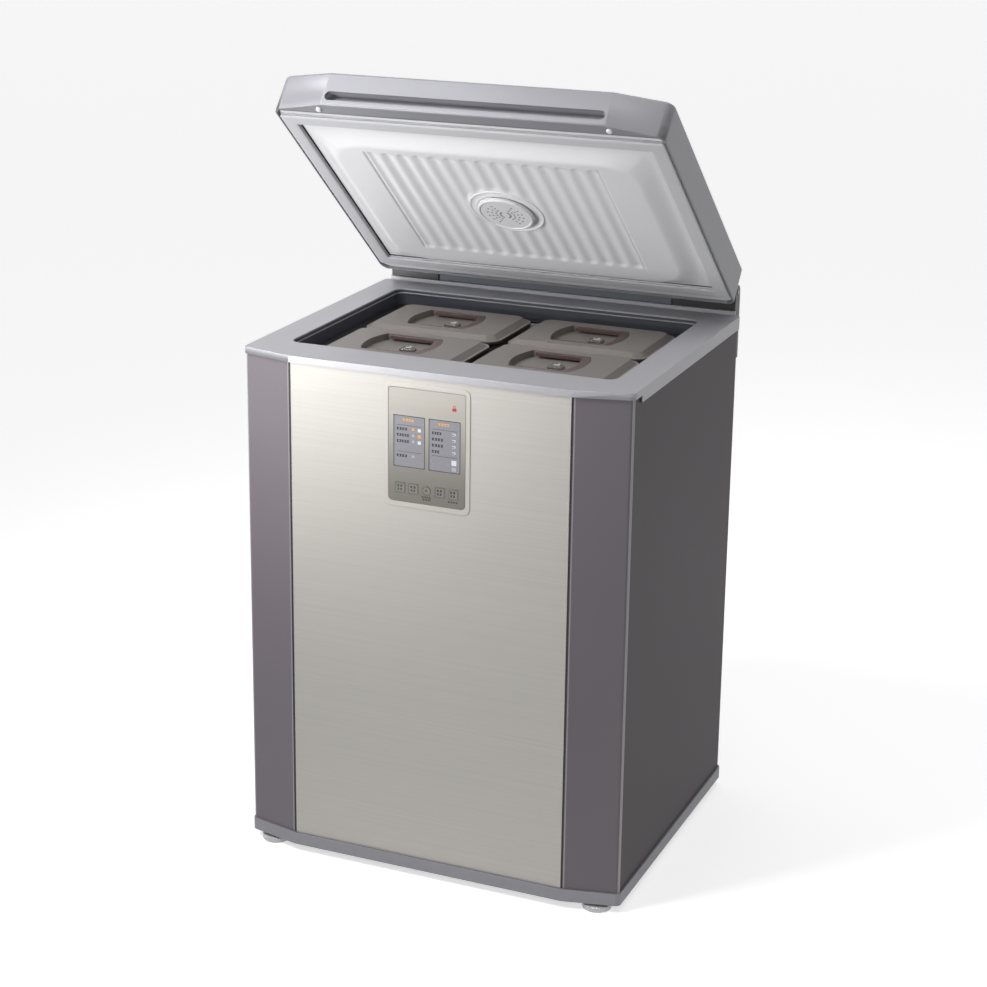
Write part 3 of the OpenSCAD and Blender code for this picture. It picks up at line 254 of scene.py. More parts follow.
# %% Moulded plastic
def moulded(name, colour, roughness=0.45, metal=0.0, grain=2.0, depth=0.05, shift=0.06, **extra):
    """Moulded plastic: slight colour drift from the flow, and spark-eroded grain in the tool.

    The real grain is about 0.3 mm wide. It is drawn at `grain` mm, so that it still shows.
    """
    material, shader = new_material(name, Roughness=roughness, Metallic=metal, **extra)
    place = add(material, "TexCoord").outputs["Object"]
    drift = add(material, "TexNoise", {"Vector": place, "Scale": per(180), "Detail": 2.0})
    tone = add(material, "MixRGB", {"Fac": drift.outputs["Fac"],
                                    "Color1": [c * (1 - shift) for c in linear(colour)[:3]] + [1],
                                    "Color2": [c * (1 + shift) for c in linear(colour)[:3]] + [1]})
    pits = add(material, "TexNoise", {"Vector": place, "Scale": per(grain), "Detail": 3.0})
    rough = add(material, "MapRange", {"Value": pits.outputs["Fac"],
                                       "From Min": 0.3, "From Max": 0.7,
                                       "To Min": roughness - 0.05, "To Max": roughness + 0.05})
    bump = add(material, "Bump", {"Height": pits.outputs["Fac"],
                                  "Strength": depth, "Distance": 0.5 * MM})
    links = material.node_tree.links
    links.new(tone.outputs["Color"], shader.inputs["Base Color"])
    links.new(rough.outputs["Result"], shader.inputs["Roughness"])
    links.new(bump.outputs["Normal"], shader.inputs["Normal"])
    return material


# %% Brushed and painted sheet
def brushed(name, light, dark, roughness=0.5, metal=0.3, along="X", line=0.8, run=120, foot=None):
    """Sheet brushed along one axis: scratches `line` mm wide and about `run` mm long.

    Real scratches are about 0.05 mm wide. They are drawn wider, so that they show.
    A `foot` colour is a printed tint that takes over towards the control plate's lower edge.
    """
    material, shader = new_material(name, Metallic=metal, Roughness=roughness)
    place = add(material, "TexCoord").outputs["Object"]
    stretch = [per(run) if axis == along else per(line) for axis in "XYZ"]
    fine = add(material, "Mapping", {"Vector": place, "Scale": stretch})
    hair = add(material, "TexNoise", {"Vector": fine.outputs["Vector"], "Scale": 1.0, "Detail": 4.0,
                                      "Roughness": 0.7})
    wide = add(material, "Mapping", {"Vector": place, "Scale": [s / 3 for s in stretch]})
    band = add(material, "TexNoise", {"Vector": wide.outputs["Vector"],
                                      "Scale": 1.0, "Detail": 2.0})
    both = add(material, "Math", {0: hair.outputs["Fac"], 1: band.outputs["Fac"]}, operation="ADD")
    share = add(material, "MapRange", {"Value": both.outputs[0], "From Min": 0.7, "From Max": 1.3})
    tone = add(material, "MixRGB", {"Fac": share.outputs["Result"], "Color1": linear(dark),
                                    "Color2": linear(light)})
    if foot:
        height = add(material, "SeparateXYZ", {"Vector": place})
        low = add(material, "MapRange",
                  {"Value": height.outputs["Z"], "From Min": plate_box[1].z,
                   "From Max": plate_box[0].z}, interpolation_type="SMOOTHSTEP")
        tone = add(material, "MixRGB", {"Fac": low.outputs["Result"],
                                        "Color1": tone.outputs["Color"], "Color2": linear(foot)})
    rough = add(material, "MapRange", {"Value": hair.outputs["Fac"], "To Min": roughness - 0.08,
                                       "To Max": roughness + 0.08})
    bump = add(material, "Bump", {"Height": hair.outputs["Fac"],
                                  "Strength": 0.12, "Distance": 0.3 * MM})
    links = material.node_tree.links
    links.new(tone.outputs["Color"], shader.inputs["Base Color"])
    links.new(rough.outputs["Result"], shader.inputs["Roughness"])
    links.new(bump.outputs["Normal"], shader.inputs["Normal"])
    return material


# %% All the finishes
finish = {
    "rim_plastic": moulded("silver_abs_rim", "#ACACB1", 0.42, metal=0.2),
    "lid_plastic": moulded("silver_abs_lid", "#8E8E93", 0.42, metal=0.2),
    "base_plastic": moulded("grey_abs_base", "#8C8C92", 0.48, metal=0.2),
    "hinge_cover": moulded("slate_abs_cover", "#666B73", 0.5),
    "liner_plastic": moulded("white_hips_liner", "#E9E9EC", 0.32, shift=0.02, depth=0.02),
    "filter_plastic": moulded("white_abs_cap", "#E2E2E6", 0.38, shift=0.02),
    "bumper_plastic": moulded("white_pom_bumper", "#F2F2F2", 0.35, shift=0.02),
    "bezel_plastic": moulded("champagne_abs_frame", "#B9B5AF", 0.4, metal=0.2),
    "key_plastic": moulded("champagne_key_film", "#7F7C76", 0.35, metal=0.2),
    "display_tint": moulded("grey_display_film", "#8C8C92", 0.25, shift=0.02, depth=0.0),
    "black_plastic": moulded("black_abs", "#1E1E20", 0.5),
    "black_steel": moulded("black_painted_steel", "#1D1D1F", 0.4, grain=3.0),
    "container_plastic": moulded("taupe_pp_box", "#5F5B58", 0.48),
    "container_cover": moulded("taupe_pp_lid", "#7B7671", 0.4),
    "handle_plastic": moulded("brown_pc_handle", "#5A4745", 0.22),
    "gasket_rubber": moulded("grey_pvc_gasket", "#CECED2", 0.55),
    "mount_rubber": moulded("black_epdm_mount", "#1B1B1D", 0.8),
    "compressor_shell": moulded("black_enamel_shell", "#18181A", 0.25, grain=4.0),
    "fan_plastic": moulded("grey_pp_fan", "#8A8B92", 0.45),
    "roller_plastic": moulded("black_pa_roller", "#262628", 0.55),
    "foam": moulded("cream_pu_foam", "#EBD9A6", 0.9, grain=3.0, depth=0.6),
    "board": moulded("green_circuit_board", "#2F6B45", 0.35),
    "side_sheet": moulded("umber_pcm_sheet", "#3A3238", 0.5, grain=1.5, Specular_IOR_Level=0.2),
    "corner_sheet": moulded("taupe_pcm_strip", "#736D73", 0.45, grain=1.5, Specular_IOR_Level=0.3),
    "brushed_steel": brushed("champagne_brushed_stainless", "#B9B6B1", "#B1AEA9",
                             line=0.5, run=160),
    "control_plate": brushed("champagne_brushed_plate", "#A9A69F", "#A4A19A", foot="#716E68"),
    "galvanised_steel": brushed("galvanised_sheet", "#B9BBBE", "#9C9EA2", along="Y"),
    "steel_pin": brushed("turned_steel_pin", "#B9BBBE", "#8E9094"),
    "tub_aluminium": brushed("embossed_aluminium_tub", "#C9CCCF", "#B5B8BB", along="Z"),
    "condenser_aluminium": brushed("aluminium_fins", "#B8BABD", "#9EA0A4", along="Z"),
    "copper_tube": brushed("copper_tube", "#C07F50", "#A96A40"),
    # Slate band on the throat's wall: painted shade, darker than the rim it covers
    "throat_painted_shade": moulded("painted_shade_throat", "#4A4C54", 0.4),
    # Lighter than the strips: a painted highlight on the beads of the folds
    "bead_highlight": moulded("pcm_fold_painted_highlight", "#979297", 0.35, metal=0.2),
    "foot_zinc": moulded("zinc_plated_foot", "#C4C4C6", 0.38, metal=0.35),
    "dark_print": moulded("dark_screen_print", "#201F1E", 0.5, depth=0.0),
    "orange_print": moulded("orange_screen_print", "#D9A046", 0.45, depth=0.0),
    "white_print": moulded("white_lamp_lens", "#DAD9DF", 0.3, depth=0.0),
    "faint_print": moulded("unlit_lamp_lens", "#A9A8B1", 0.3, depth=0.0),
    "vent_shadow": moulded("shadow_in_vents", "#6E6E74", 0.8, depth=0.0),
    "red_print": moulded("red_screen_print", "#D23A34", 0.45, depth=0.0),
    "clear_vent": moulded("clear_san_vent", "#B9B4AC", 0.12, depth=0.01,
                          Transmission_Weight=0.75, IOR=1.5),
    "vent_knob": moulded("milky_san_knob", "#D8D5D0", 0.2, depth=0.01,
                         Transmission_Weight=0.35, IOR=1.5),
}
print(len(finish), "finishes")

# %% [markdown]
# ## Tools for the shapes
#
# A moulded part never has a razor edge: its edges catch the light as thin bright
# lines. The CAD solids are sharp, so each visible one is copied, its triangles are
# merged and its edges are bevelled. A bevel only takes material away, so the copy
# stays inside the CAD piece. New mouldings are lofts: one loop of edges is pulled
# through rounded rectangles. All shapes are worked in millimetres. A
# matrix then puts them on the cabinet, on the open lid or on the control plate.

# %% Where shapes are placed
MILLIMETRES = Matrix.Scale(MM, 4)
IN_LID = open_lid @ MILLIMETRES
plate_corner = Vector((plate_box[0].x, plate_box[0].y, plate_box[1].z)) / MM
# On the plate, x runs to the right, y up and z towards the user, from its upper left corner
ON_PLATE = (MILLIMETRES @ Matrix.Translation(plate_corner)
            @ Matrix.Rotation(math.radians(90), 4, "X"))


def cad_shape(node, into=MILLIMETRES):
    """A CAD node's mesh in the millimetres of `into`, its triangles merged into flat faces."""
    shape = bmesh.new()
    shape.from_mesh(frame["nodes"][node].data)
    bmesh.ops.transform(shape, matrix=into.inverted(), verts=shape.verts)
    bmesh.ops.remove_doubles(shape, verts=shape.verts, dist=0.002)
    bmesh.ops.dissolve_limit(shape, angle_limit=math.radians(0.5), verts=shape.verts,
                             edges=shape.edges)
    return shape


def node_box(node, into=MILLIMETRES):
    """Lowest and highest corner of a CAD node, in the millimetres of `into`."""
    spots = [into.inverted() @ vert.co for vert in frame["nodes"][node].data.vertices]
    return [Vector(pick(spot[axis] for spot in spots) for axis in range(3)) for pick in (min, max)]


def ease_edges(shape, width, segments=3, corner=30, where=None):
    """Round the edges that turn by over `corner` degrees, or those of them `where` picks."""
    sharp = [edge for edge in shape.edges
             if edge.is_manifold and edge.calc_face_angle() > math.radians(corner)
             and (where is None or where((edge.verts[0].co + edge.verts[1].co) / 2))]
    if sharp:
        bmesh.ops.bevel(shape, geom=sharp, offset=width, segments=segments, profile=0.5,
                        affect="EDGES", clamp_overlap=True, material=-1)


def loft(shape, sections, endless=False, corner_steps=8):
    """Pull one loop through rounded rectangles, into a solid or, when endless, into a band.

    A section is width, depth, corner radius and height, and then its middle's y and x.
    """
    step = math.radians(90 / corner_steps)
    made = bmesh.ops.create_circle(shape, segments=4 * corner_steps, radius=1 / math.cos(step / 2),
                                   matrix=Matrix.Rotation(step / 2, 4, "Z"))
    loop = made["verts"]
    rays = [vert.co.copy() for vert in loop]
    edges = list({edge for vert in loop for edge in vert.link_edges})
    first = edges
    for index, section in enumerate(list(sections) + list(sections[:1]) * endless):
        if index:
            pulled = bmesh.ops.extrude_edge_only(shape, edges=edges)["geom"]
            fresh = {part for part in pulled if isinstance(part, bmesh.types.BMVert)}
            loop = [next(edge.other_vert(vert) for edge in vert.link_edges
                         if edge.other_vert(vert) in fresh) for vert in loop]
            edges = list({edge for vert in loop for edge in vert.link_edges
                          if edge.other_vert(vert) in fresh})
        width, depth, radius, height, y, x = (*section, 0, 0)[:6]
        for vert, ray in zip(loop, rays):
            vert.co = (math.copysign(width / 2 - radius, ray.x) + ray.x * radius + x,
                       math.copysign(depth / 2 - radius, ray.y) + ray.y * radius + y, height)
    if endless:
        bmesh.ops.remove_doubles(shape, verts=shape.verts, dist=0.0001)
    else:
        for end in (first, edges):
            bmesh.ops.edgeloop_fill(shape, edges=end)
    return shape


def slab(shape, low, high, corner=0.0, along=2, steps=3):
    """Box between two corners. The edges along one axis are rounded when `corner` isn't 0."""
    low, high = Vector(low), Vector(high)
    place = Matrix.Translation((low + high) / 2) @ Matrix.Diagonal((*(high - low), 1))
    made = bmesh.ops.create_cube(shape, size=1, matrix=place)
    edges = {edge for vert in made["verts"] for edge in vert.link_edges}
    upright = [edge for edge in edges
               if abs((edge.verts[0].co - edge.verts[1].co)[along]) > 0.999 * edge.calc_length()]
    if corner:
        bmesh.ops.bevel(shape, geom=upright, offset=corner, segments=steps, profile=0.5,
                        affect="EDGES", clamp_overlap=True, material=-1)


def lathe(shape, profile, place=Matrix(), steps=64):
    """Spin a closed outline of (radius, height) points round the Z axis of `place`."""
    verts = [shape.verts.new(place @ Vector((radius, 0, height))) for radius, height in profile]
    edges = [shape.edges.new(pair) for pair in zip(verts, verts[1:] + verts[:1])]
    bmesh.ops.spin(shape, geom=verts + edges, axis=place.to_3x3() @ Vector((0, 0, 1)),
                   cent=place.translation, angle=math.radians(360), steps=steps, use_merge=True)


def dress(shape, name, slot, body, replaces=(), into=MILLIMETRES, smooth=True):
    """Turn a shape into a piece with its finish, on its body, in place of the CAD nodes named."""
    bmesh.ops.transform(shape, matrix=into, verts=shape.verts)
    bmesh.ops.recalc_face_normals(shape, faces=shape.faces)
    mesh = bpy.data.meshes.new(name)
    shape.to_mesh(mesh)
    shape.free()
    mesh.materials.append(finish[slot])
    piece = bpy.data.objects.new(name, mesh)
    bpy.context.scene.collection.objects.link(piece)
    if smooth:
        mesh.shade_smooth()
        normals = piece.modifiers.new("flat faces stay flat", "WEIGHTED_NORMAL")
        normals.keep_sharp = True
        normals.weight = 90
    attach(piece, body)
    if replaces:
        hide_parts(*replaces)
    print(name, "on", body, "with", len(mesh.polygons), "faces")
    return piece


slot_of = {part["node"]: part["material_slot"] for part in frame["record"]["subparts"]}
body_of = {node: body for body, nodes in frame["record"]["behaviour"]["bodies"].items()
           for node in nodes}
print("Lid shell when shut:",
      [[round(c, 1) for c in corner] for corner in node_box("lid_shell", IN_LID)])

# %% [markdown]
# ## Cabinet
#
# The side and back sheet, the two angled corner strips, the front panel, the rim
# and the base are separate parts that clip over one another. Each keeps its CAD
# shape and gets the edge radius of its own process: a folded sheet is crisp, and
# moulded plastic is soft. Only the edges on the outside are rounded, because the
# thin inner edges are hidden.

# %% Rim, base, wrap, strips and panel
def on_skin(low, high, top, margin=0.3):
    """Test for spots on a box's four sides, or above the height `top`."""
    def test(spot):
        return (min(spot.x - low.x, high.x - spot.x, spot.y - low.y, high.y - spot.y) < margin
                or spot.z > top)
    return test


rim_low, rim_high = node_box("top_frame")
base_high = node_box("base_frame")[1]
NOWHERE, EVERYWHERE = 2000, 0
# Node, edge radius, the height above which all edges count, and depth of its skin
for node, width, top, margin in (("top_frame", 1.8, rim_high.z - 6.5, 0.3),
                                 ("base_frame", 1.8, base_high.z - 0.5, 22),
                                 ("cabinet_wrap", 0.5, NOWHERE, 0.3),
                                 ("hinge_cover", 2.0, EVERYWHERE, 22),
                                 ("tub_collar", 0.8, NOWHERE, 6)):
    shape = cad_shape(node)
    ease_edges(shape, width, where=on_skin(*node_box(node), top, margin))
    dress(shape, node + "_eased", slot_of[node], body_of[node], [node])

for node, width in (("corner_strips", 1.2), ("front_panel", 0.4), ("machine_cover", 0.4)):
    shape = cad_shape(node)
    ease_edges(shape, width)
    dress(shape, node + "_eased", slot_of[node], body_of[node], [node])

# %% [markdown]
# ### Seams, beads and the throat's step
#
# The panel stands in a narrow groove at each side. A black filler strip closes the
# foam behind it, and its black also paints the shade in the groove, so the groove
# reads as a thin dark line. The beads on the strips' folds are lighter than the
# strips, a painted highlight on the folds. Inside the rim a small step runs round the
# throat, which keeps the lid's plug off the wall and shows as a second bright line
# below the rim's edge. A dark band over the throat's wall paints the shade that falls there.

# %% Seams and step
SEAM_IN, SEAM_OUT, SEAM_FRONT, SEAM_BACK = 1.0, 3.6, 1.0, 4.0
panel_low, panel_high = node_box("front_panel")
# The black filler closes the foam and also paints the shade in the groove beside the panel
for side, name in ((-1, "left"), (1, "right")):
    shape = bmesh.new()
    inner, outer = sorted((side * (panel_high.x - SEAM_IN), side * (panel_high.x + SEAM_OUT)))
    slab(shape, (inner, panel_low.y + SEAM_FRONT, panel_low.z),
         (outer, panel_low.y + SEAM_BACK, panel_high.z))
    dress(shape, "seam_shade_filler_" + name, "black_plastic", "cabinet", smooth=False)

# The beads are lighter than the strips: their colour paints the highlight that the folds catch
OUTER_BEAD_R, INNER_BEAD_R, BEAD_IN, BEAD_GAP = 2.8, 1.5, 1.6, 4.4
strip_low, strip_high = node_box("corner_strips")
for side, name in ((-1, "left"), (1, "right")):
    shape = bmesh.new()
    for radius, x, y, steps in (
            (OUTER_BEAD_R, side * strip_high.x - side * BEAD_IN, strip_high.y, 20),
            (INNER_BEAD_R, side * (panel_high.x + BEAD_GAP), strip_low.y + BEAD_IN, 16)):
        lathe(shape, [(0.1, strip_low.z), (radius, strip_low.z),
                      (radius, strip_high.z), (0.1, strip_high.z)],
              Matrix.Translation((x, y, 0)), steps=steps)
    dress(shape, "strip_beads_" + name, "bead_highlight", "cabinet")

# Width, depth and corner radius of the rim's throat
OPENING = (505, 378, 16)
OPENING_Y = -4.5
STEP_TOP_DROP, STEP_H, STEP_IN = 12.0, 1.6, 1.5
shape = bmesh.new()
width, depth, radius = OPENING
step_top = rim_high.z - STEP_TOP_DROP
loft(shape, [(width + 1 - 2 * i, depth + 1 - 2 * i, radius - i, step_top - drop, OPENING_Y)
             for i, drop in ((0, 0), (STEP_IN, 0), (STEP_IN + 0.5, 0.5), (STEP_IN + 0.5, STEP_H),
                             (0, STEP_H + 1))], endless=True)
dress(shape, "throat_step", "rim_plastic", "cabinet")
# A dark band over the throat's wall paints the shade that falls there
shape = bmesh.new()
loft(shape, [(width - 2 * i, depth - 2 * i, radius - i, z, OPENING_Y)
             for i, z in ((-0.5, rim_low.z + 0.2), (0.5, rim_low.z + 0.2), (0.5, step_top + 3.6),
                          (0.2, step_top + 4), (-0.5, step_top + 4))], endless=True)
dress(shape, "throat_shade_band", "throat_painted_shade", "cabinet")

# %% [markdown]
# ### Feet
#
# A levelling foot is turned by hand, so its pad has a knurled rim. The pad is a
# low turned disc, and every second line of its rim is pulled in to make the ribs.

# %% Knurled feet
RIBS, RIB_DEPTH = 36, 1.0
for side in ("left", "right"):
    low, high = node_box("foot_" + side)
    middle = (low + high) / 2
    pad_r = (high.x - low.x) / 2
    shape = bmesh.new()
    axis = Matrix.Translation((middle.x, middle.y, 0))
    lathe(shape, [(0.2, low.z), (pad_r - 4, low.z), (pad_r - 1.2, low.z + 0.5),
                  (pad_r, low.z + 2), (pad_r, low.z + 7), (pad_r - 1.2, low.z + 8.6),
                  (pad_r - 6, low.z + 9), (0.2, low.z + 9)], axis, steps=4 * RIBS)
    for vert in shape.verts:
        arm = vert.co - Vector((middle.x, middle.y, vert.co.z))
        rib = round(math.atan2(arm.y, arm.x) / math.tau * 4 * RIBS) % 4
        if arm.length > pad_r - 1.5 and rib > 1:
            vert.co -= arm.normalized() * RIB_DEPTH
    lathe(shape, [(0.2, low.z + 8), (4, low.z + 8), (4, high.z), (0.2, high.z)], axis, steps=32)
    dress(shape, "foot_" + side + "_knurled", "foot_zinc", "foot_" + side, ["foot_" + side])

# %% [markdown]
# ## Control plate
#
# A metal-look plate sits in a light frame. Its film darkens towards the foot,
# where the keys are. Two tinted windows show rows of small dark captions with a
# lamp beside each. The captions are drawn as short bars, because the words on the
# real plate aren't copied.

# %% Frame, plate and windows
shape = cad_shape("control_bezel")
front_y = node_box("control_bezel")[0].y
ease_edges(shape, 0.9, where=lambda spot: spot.y < front_y + 0.1)
dress(shape, "control_frame", "bezel_plastic", "cabinet", ["control_bezel"])

shape = cad_shape("control_plate")
ease_edges(shape, 0.25, where=lambda spot: spot.y < plate_corner.y + 0.1)
dress(shape, "control_film", "control_plate", "cabinet", ["control_plate"])

PLATE_W = (plate_box[1].x - plate_box[0].x) / MM
WINDOW_W, WINDOW_H, WINDOW_DROP, WINDOW_GAP = 48.5, 76.0, 40.0, 6.0
window_left = [PLATE_W / 2 - WINDOW_GAP / 2 - WINDOW_W, PLATE_W / 2 + WINDOW_GAP / 2]
shape = bmesh.new()
outline = bmesh.new()
for left in window_left:
    slab(shape, (left + 0.05, -WINDOW_DROP - WINDOW_H + 0.05, -2.0),
         (left + WINDOW_W - 0.05, -WINDOW_DROP - 0.05, -0.2), 1.6)
    middle = (left + WINDOW_W / 2, -WINDOW_DROP - WINDOW_H / 2)
    loft(outline, [(WINDOW_W - 2 * inset, WINDOW_H - 2 * inset, 1.7, z, middle[1], middle[0])
                   for inset, z in ((0.05, -0.6), (0.05, -0.05), (0.95, -0.05), (0.95, -0.6))],
         endless=True)
dress(shape, "window_panes", "display_tint", "cabinet", ["display_windows"], ON_PLATE)
dress(outline, "window_outlines", "dark_print", "cabinet", into=ON_PLATE, smooth=False)

# %% Captions, lines and lamps in the windows
GLASS = -0.2
PRINT_T, PRINT_SUNK = 0.06, 0.1


def print_bar(shape, left, down, width, height, base=GLASS):
    """One printed bar. Its corner lies `left` and `down` from the plate's upper left one."""
    slab(shape, (left, -down - height, base - PRINT_SUNK), (left + width, -down, base + PRINT_T))


BLOCK_W = 4.2


def caption(shape, left, down, width, height=4.0, base=GLASS):
    """A generic word: blocks of unequal strokes that aren't any letters."""
    count = max(2, round(width / BLOCK_W))
    pitch = width / count
    for index in range(count):
        x, odd = left + index * pitch, index % 2
        for shift, drop, span, tall in ((0, 0, 0.7 + 0.06 * (index % 3), 0.34),
                                        (0.2 * odd, 0.34, 0.5, 0.36),
                                        (0, 0.7, 0.8 - 0.1 * odd, 0.3)):
            print_bar(shape, x + shift * pitch, down + drop * height, span * pitch,
                      tall * height, base)


dark, orange, white, faint, red = (bmesh.new() for colour in range(5))
ROW_PITCH, ROWS_DROP, LAST_ROW_DROP, LINE_DROPS = 9.0, 18.0, 57.5, (14.2, 53)
CAPTION_IN, LINE_T = 5, 0.5
CAPTION_WIDTHS = (17, 20, 20, 14)
for window, left in enumerate(window_left):
    caption(orange, left + 14.5, WINDOW_DROP + 4.6, 18, 3.6)
    for drop in LINE_DROPS:
        print_bar(dark, left + CAPTION_IN, WINDOW_DROP + drop, WINDOW_W - 2 * CAPTION_IN, LINE_T)
    for row in range((3, 4)[window]):
        down = WINDOW_DROP + ROWS_DROP + row * ROW_PITCH
        caption(dark, left + CAPTION_IN, down, CAPTION_WIDTHS[row] - 2 * window)
        if window:
            print_bar(white, left + 35.5, down - 0.4, 5.5, 0.9)
            print_bar(white, left + 39.6, down + 0.5, 1.2, 2.2)
            print_bar(faint, left + 35.5, down + 2.7, 4.1, 1.2)
caption(dark, window_left[0] + CAPTION_IN, WINDOW_DROP + LAST_ROW_DROP, CAPTION_WIDTHS[0])

# Lamps of the left window: the second column's are a little larger
LAMP, LAMP_IN, LAMP_PITCH = 3.8, 28.5, 9
for row, tints in enumerate(((orange, white), (faint, orange), (faint, white), (faint,))):
    down = WINDOW_DROP + (17.4 + row * ROW_PITCH if row < 3 else 57.2)
    for column, tint in enumerate(tints):
        x = window_left[0] + LAMP_IN + LAMP_PITCH * column
        slab(tint, (x, -down - LAMP - column, GLASS - PRINT_SUNK),
             (x + LAMP + column, -down, GLASS + PRINT_T), 0.5)
# Two marks at the foot of the right window
for tint, x_in, x_out, top, low in ((white, 35, 42.5, 57, 64.5), (faint, 35.5, 42, 67, 73)):
    slab(tint, (window_left[1] + x_in, -WINDOW_DROP - low, GLASS - PRINT_SUNK),
         (window_left[1] + x_out, -WINDOW_DROP - top, GLASS + PRINT_T), 0.7)

# %% Lock mark, and the captions under two keys
LOCK = (101.0, 22.5)
slab(red, (LOCK[0] - 3.2, -LOCK[1] - 2.6, -0.1), (LOCK[0] + 3.2, -LOCK[1] + 1.6, PRINT_T), 0.8)
loft(red, [(4.6 - 2 * inset, 7.4 - 2 * inset, 1.1, z, -LOCK[1] + 1.6, LOCK[0])
           for inset, z in ((0, -0.1), (0, PRINT_T), (0.9, PRINT_T), (0.9, -0.1))], endless=True)
KEY_DROP, KEY_PITCH, KEY_S = 147.0, 20.5, 15.0
caption(dark, PLATE_W / 2 - 7.5, KEY_DROP + 8.6, 15, 2.4, 0)
caption(dark, PLATE_W / 2 - 6.0, KEY_DROP + 12.2, 13, 2.4, 0)
caption(dark, PLATE_W / 2 + 2 * KEY_PITCH - 8, KEY_DROP + 10.6, 16, 2.2, 0)
for shape, name, slot in ((dark, "dark_captions", "dark_print"),
                          (orange, "orange_captions", "orange_print"),
                          (white, "white_lamps", "white_print"),
                          (faint, "unlit_lamps", "faint_print"), (red, "lock_mark", "red_print")):
    dress(shape, name, slot, "cabinet", into=ON_PLATE, smooth=False)

# %% [markdown]
# ### Keys
#
# Each key is a small cap in its own hole, with a printed outline and a few generic
# strokes. The prints ride on the key, so they sink with it when it is pressed.

# %% Keys with their prints
ROUND_KEY = 3
for number in range(1, 6):
    node = "key_%d" % number
    shape = cad_shape(node)
    low, high = node_box(node)
    is_round = number == ROUND_KEY
    ease_edges(shape, 1.4, where=lambda spot: (abs(spot.y - (low.y + high.y) / 2) < 0.3
                                               and not is_round))
    ease_edges(shape, 0.25, where=lambda spot: spot.y < low.y + 0.1)
    dress(shape, node + "_cap", "key_plastic", node, [node])
    face = plate_corner.y - low.y
    x = PLATE_W / 2 + (number - ROUND_KEY) * KEY_PITCH
    shape = bmesh.new()
    span = KEY_S - (3.4 if is_round else 1.4)
    loft(shape, [(span - 2 * inset, span - 2 * inset,
                  span / 2 - inset - 0.01 if is_round else 1.2, z, -KEY_DROP, x)
                 for inset, z in ((0, face - 0.1), (0, face + PRINT_T), (0.45, face + PRINT_T),
                                  (0.45, face - 0.1))], endless=True)
    if is_round:
        caption(shape, x - 2, KEY_DROP - 2, 4, 4, face)
    else:
        caption(shape, x - 4.4, KEY_DROP - 4.4, 9, 3.4, face)
        caption(shape, x - 4.0, KEY_DROP + 0.8, 8, 3.4, face)
    dress(shape, node + "_print", "dark_print", node, into=ON_PLATE, smooth=False)

# %% [markdown]
# ## Lid
#
# The shell is one moulding with a soft nose. The mouth of its grip recess is
# rolled over, so that the fingers meet no edge, and that roll catches the light as
# a broad bright lip. The foam behind the liner is drawn without its plug, because
# the smooth liner below is slimmer than the solid it replaces.

# %% Shell
shell_low, shell_high = node_box("lid_shell", IN_LID)
GRIP_LOW = shell_low.z + 10.5
GRIP_HIGH = GRIP_LOW + 15.5
LIP_R, GRIP_HALF_W, NOSE_HALF_W = 7.0, 213, 230
shape = cad_shape("lid_shell", IN_LID)
ease_edges(shape, LIP_R, segments=8,
           where=lambda spot: (spot.y < shell_low.y + 0.3 and GRIP_LOW < spot.z < GRIP_HIGH
                               and abs(spot.x) < GRIP_HALF_W))
ease_edges(shape, 3.0, segments=5,
           where=lambda spot: (spot.y < shell_low.y + 0.3 and spot.z < GRIP_LOW - LIP_R
                               and abs(spot.x) < NOSE_HALF_W))
ease_edges(shape, 4.0, segments=4, where=lambda spot: spot.z > shell_high.z - 0.3)
on_shell_side = on_skin(shell_low, shell_high, NOWHERE, 1.0)
ease_edges(shape, 1.6, segments=3, corner=15,
           where=lambda spot: spot.z < shell_low.z + 3.4 and on_shell_side(spot))
dress(shape, "lid_shell_eased", "lid_plastic", "lid", ["lid_shell"], IN_LID)

foam_low, foam_high = node_box("lid_foam", IN_LID)
shape = bmesh.new()
slab(shape, (foam_low.x + 1, foam_low.y + 1, node_box("lid_liner", IN_LID)[1].z + 0.5),
     (foam_high.x - 1, foam_high.y - 1, foam_high.z - 0.5), 14)
dress(shape, "lid_foam_core", "foam", "lid", ["lid_foam"], IN_LID)

# %% [markdown]
# ### Liner
#
# The liner is vacuum-formed from one white sheet, so every form on it is smooth:
# the flange under the gasket, the sloping wall of the plug with its large corner
# radii, and fifteen shallow troughs that stiffen the middle. The troughs have
# round tips, a fine groove closes the field at the left and the right, and a
# round flat stays free for the deodoriser. One formula gives the height at each
# spot, and a grid follows it.

# %% Height of the liner
liner_low, liner_high = node_box("lid_liner", IN_LID)
gasket_low, gasket_high = node_box("lid_gasket", IN_LID)
GASKET_W = 22.0
seal_w = gasket_high.x - gasket_low.x - 2 * GASKET_W
seal_d = gasket_high.y - gasket_low.y - 2 * GASKET_W
seal_y = (gasket_high.y + gasket_low.y) / 2
PLUG_Z = liner_low.z + 1.4
FLANGE_Z = liner_high.z - 1.5
FOOT_W, FOOT_D, FOOT_R = 526.0, 390.0, 18.0
FLAT_W, FLAT_D, FLAT_R = 464.0, 332.0, 48.0
FIELD_W, FIELD_D, FIELD_Y = 366.0, 294.0, -17.5
WAVES, WAVE_H, GROOVE_H = 15, 2.6, 1.8
GROOVE_W = 1.8
CAP_Y, CAP_FLAT_R = -17.5, 58.0
wave_pitch = FIELD_W / WAVES


def smooth_step(value):
    """0 below 0, 1 above 1, and an even rise between them."""
    value = min(max(value, 0.0), 1.0)
    return value * value * (3 - 2 * value)


def beyond(x, y, width, depth, radius):
    """Distance of a spot outside a rounded rectangle about the origin, below 0 inside it."""
    over_x, over_y = abs(x) - width / 2 + radius, abs(y) - depth / 2 + radius
    return math.hypot(max(over_x, 0), max(over_y, 0)) + min(max(over_x, over_y), 0) - radius


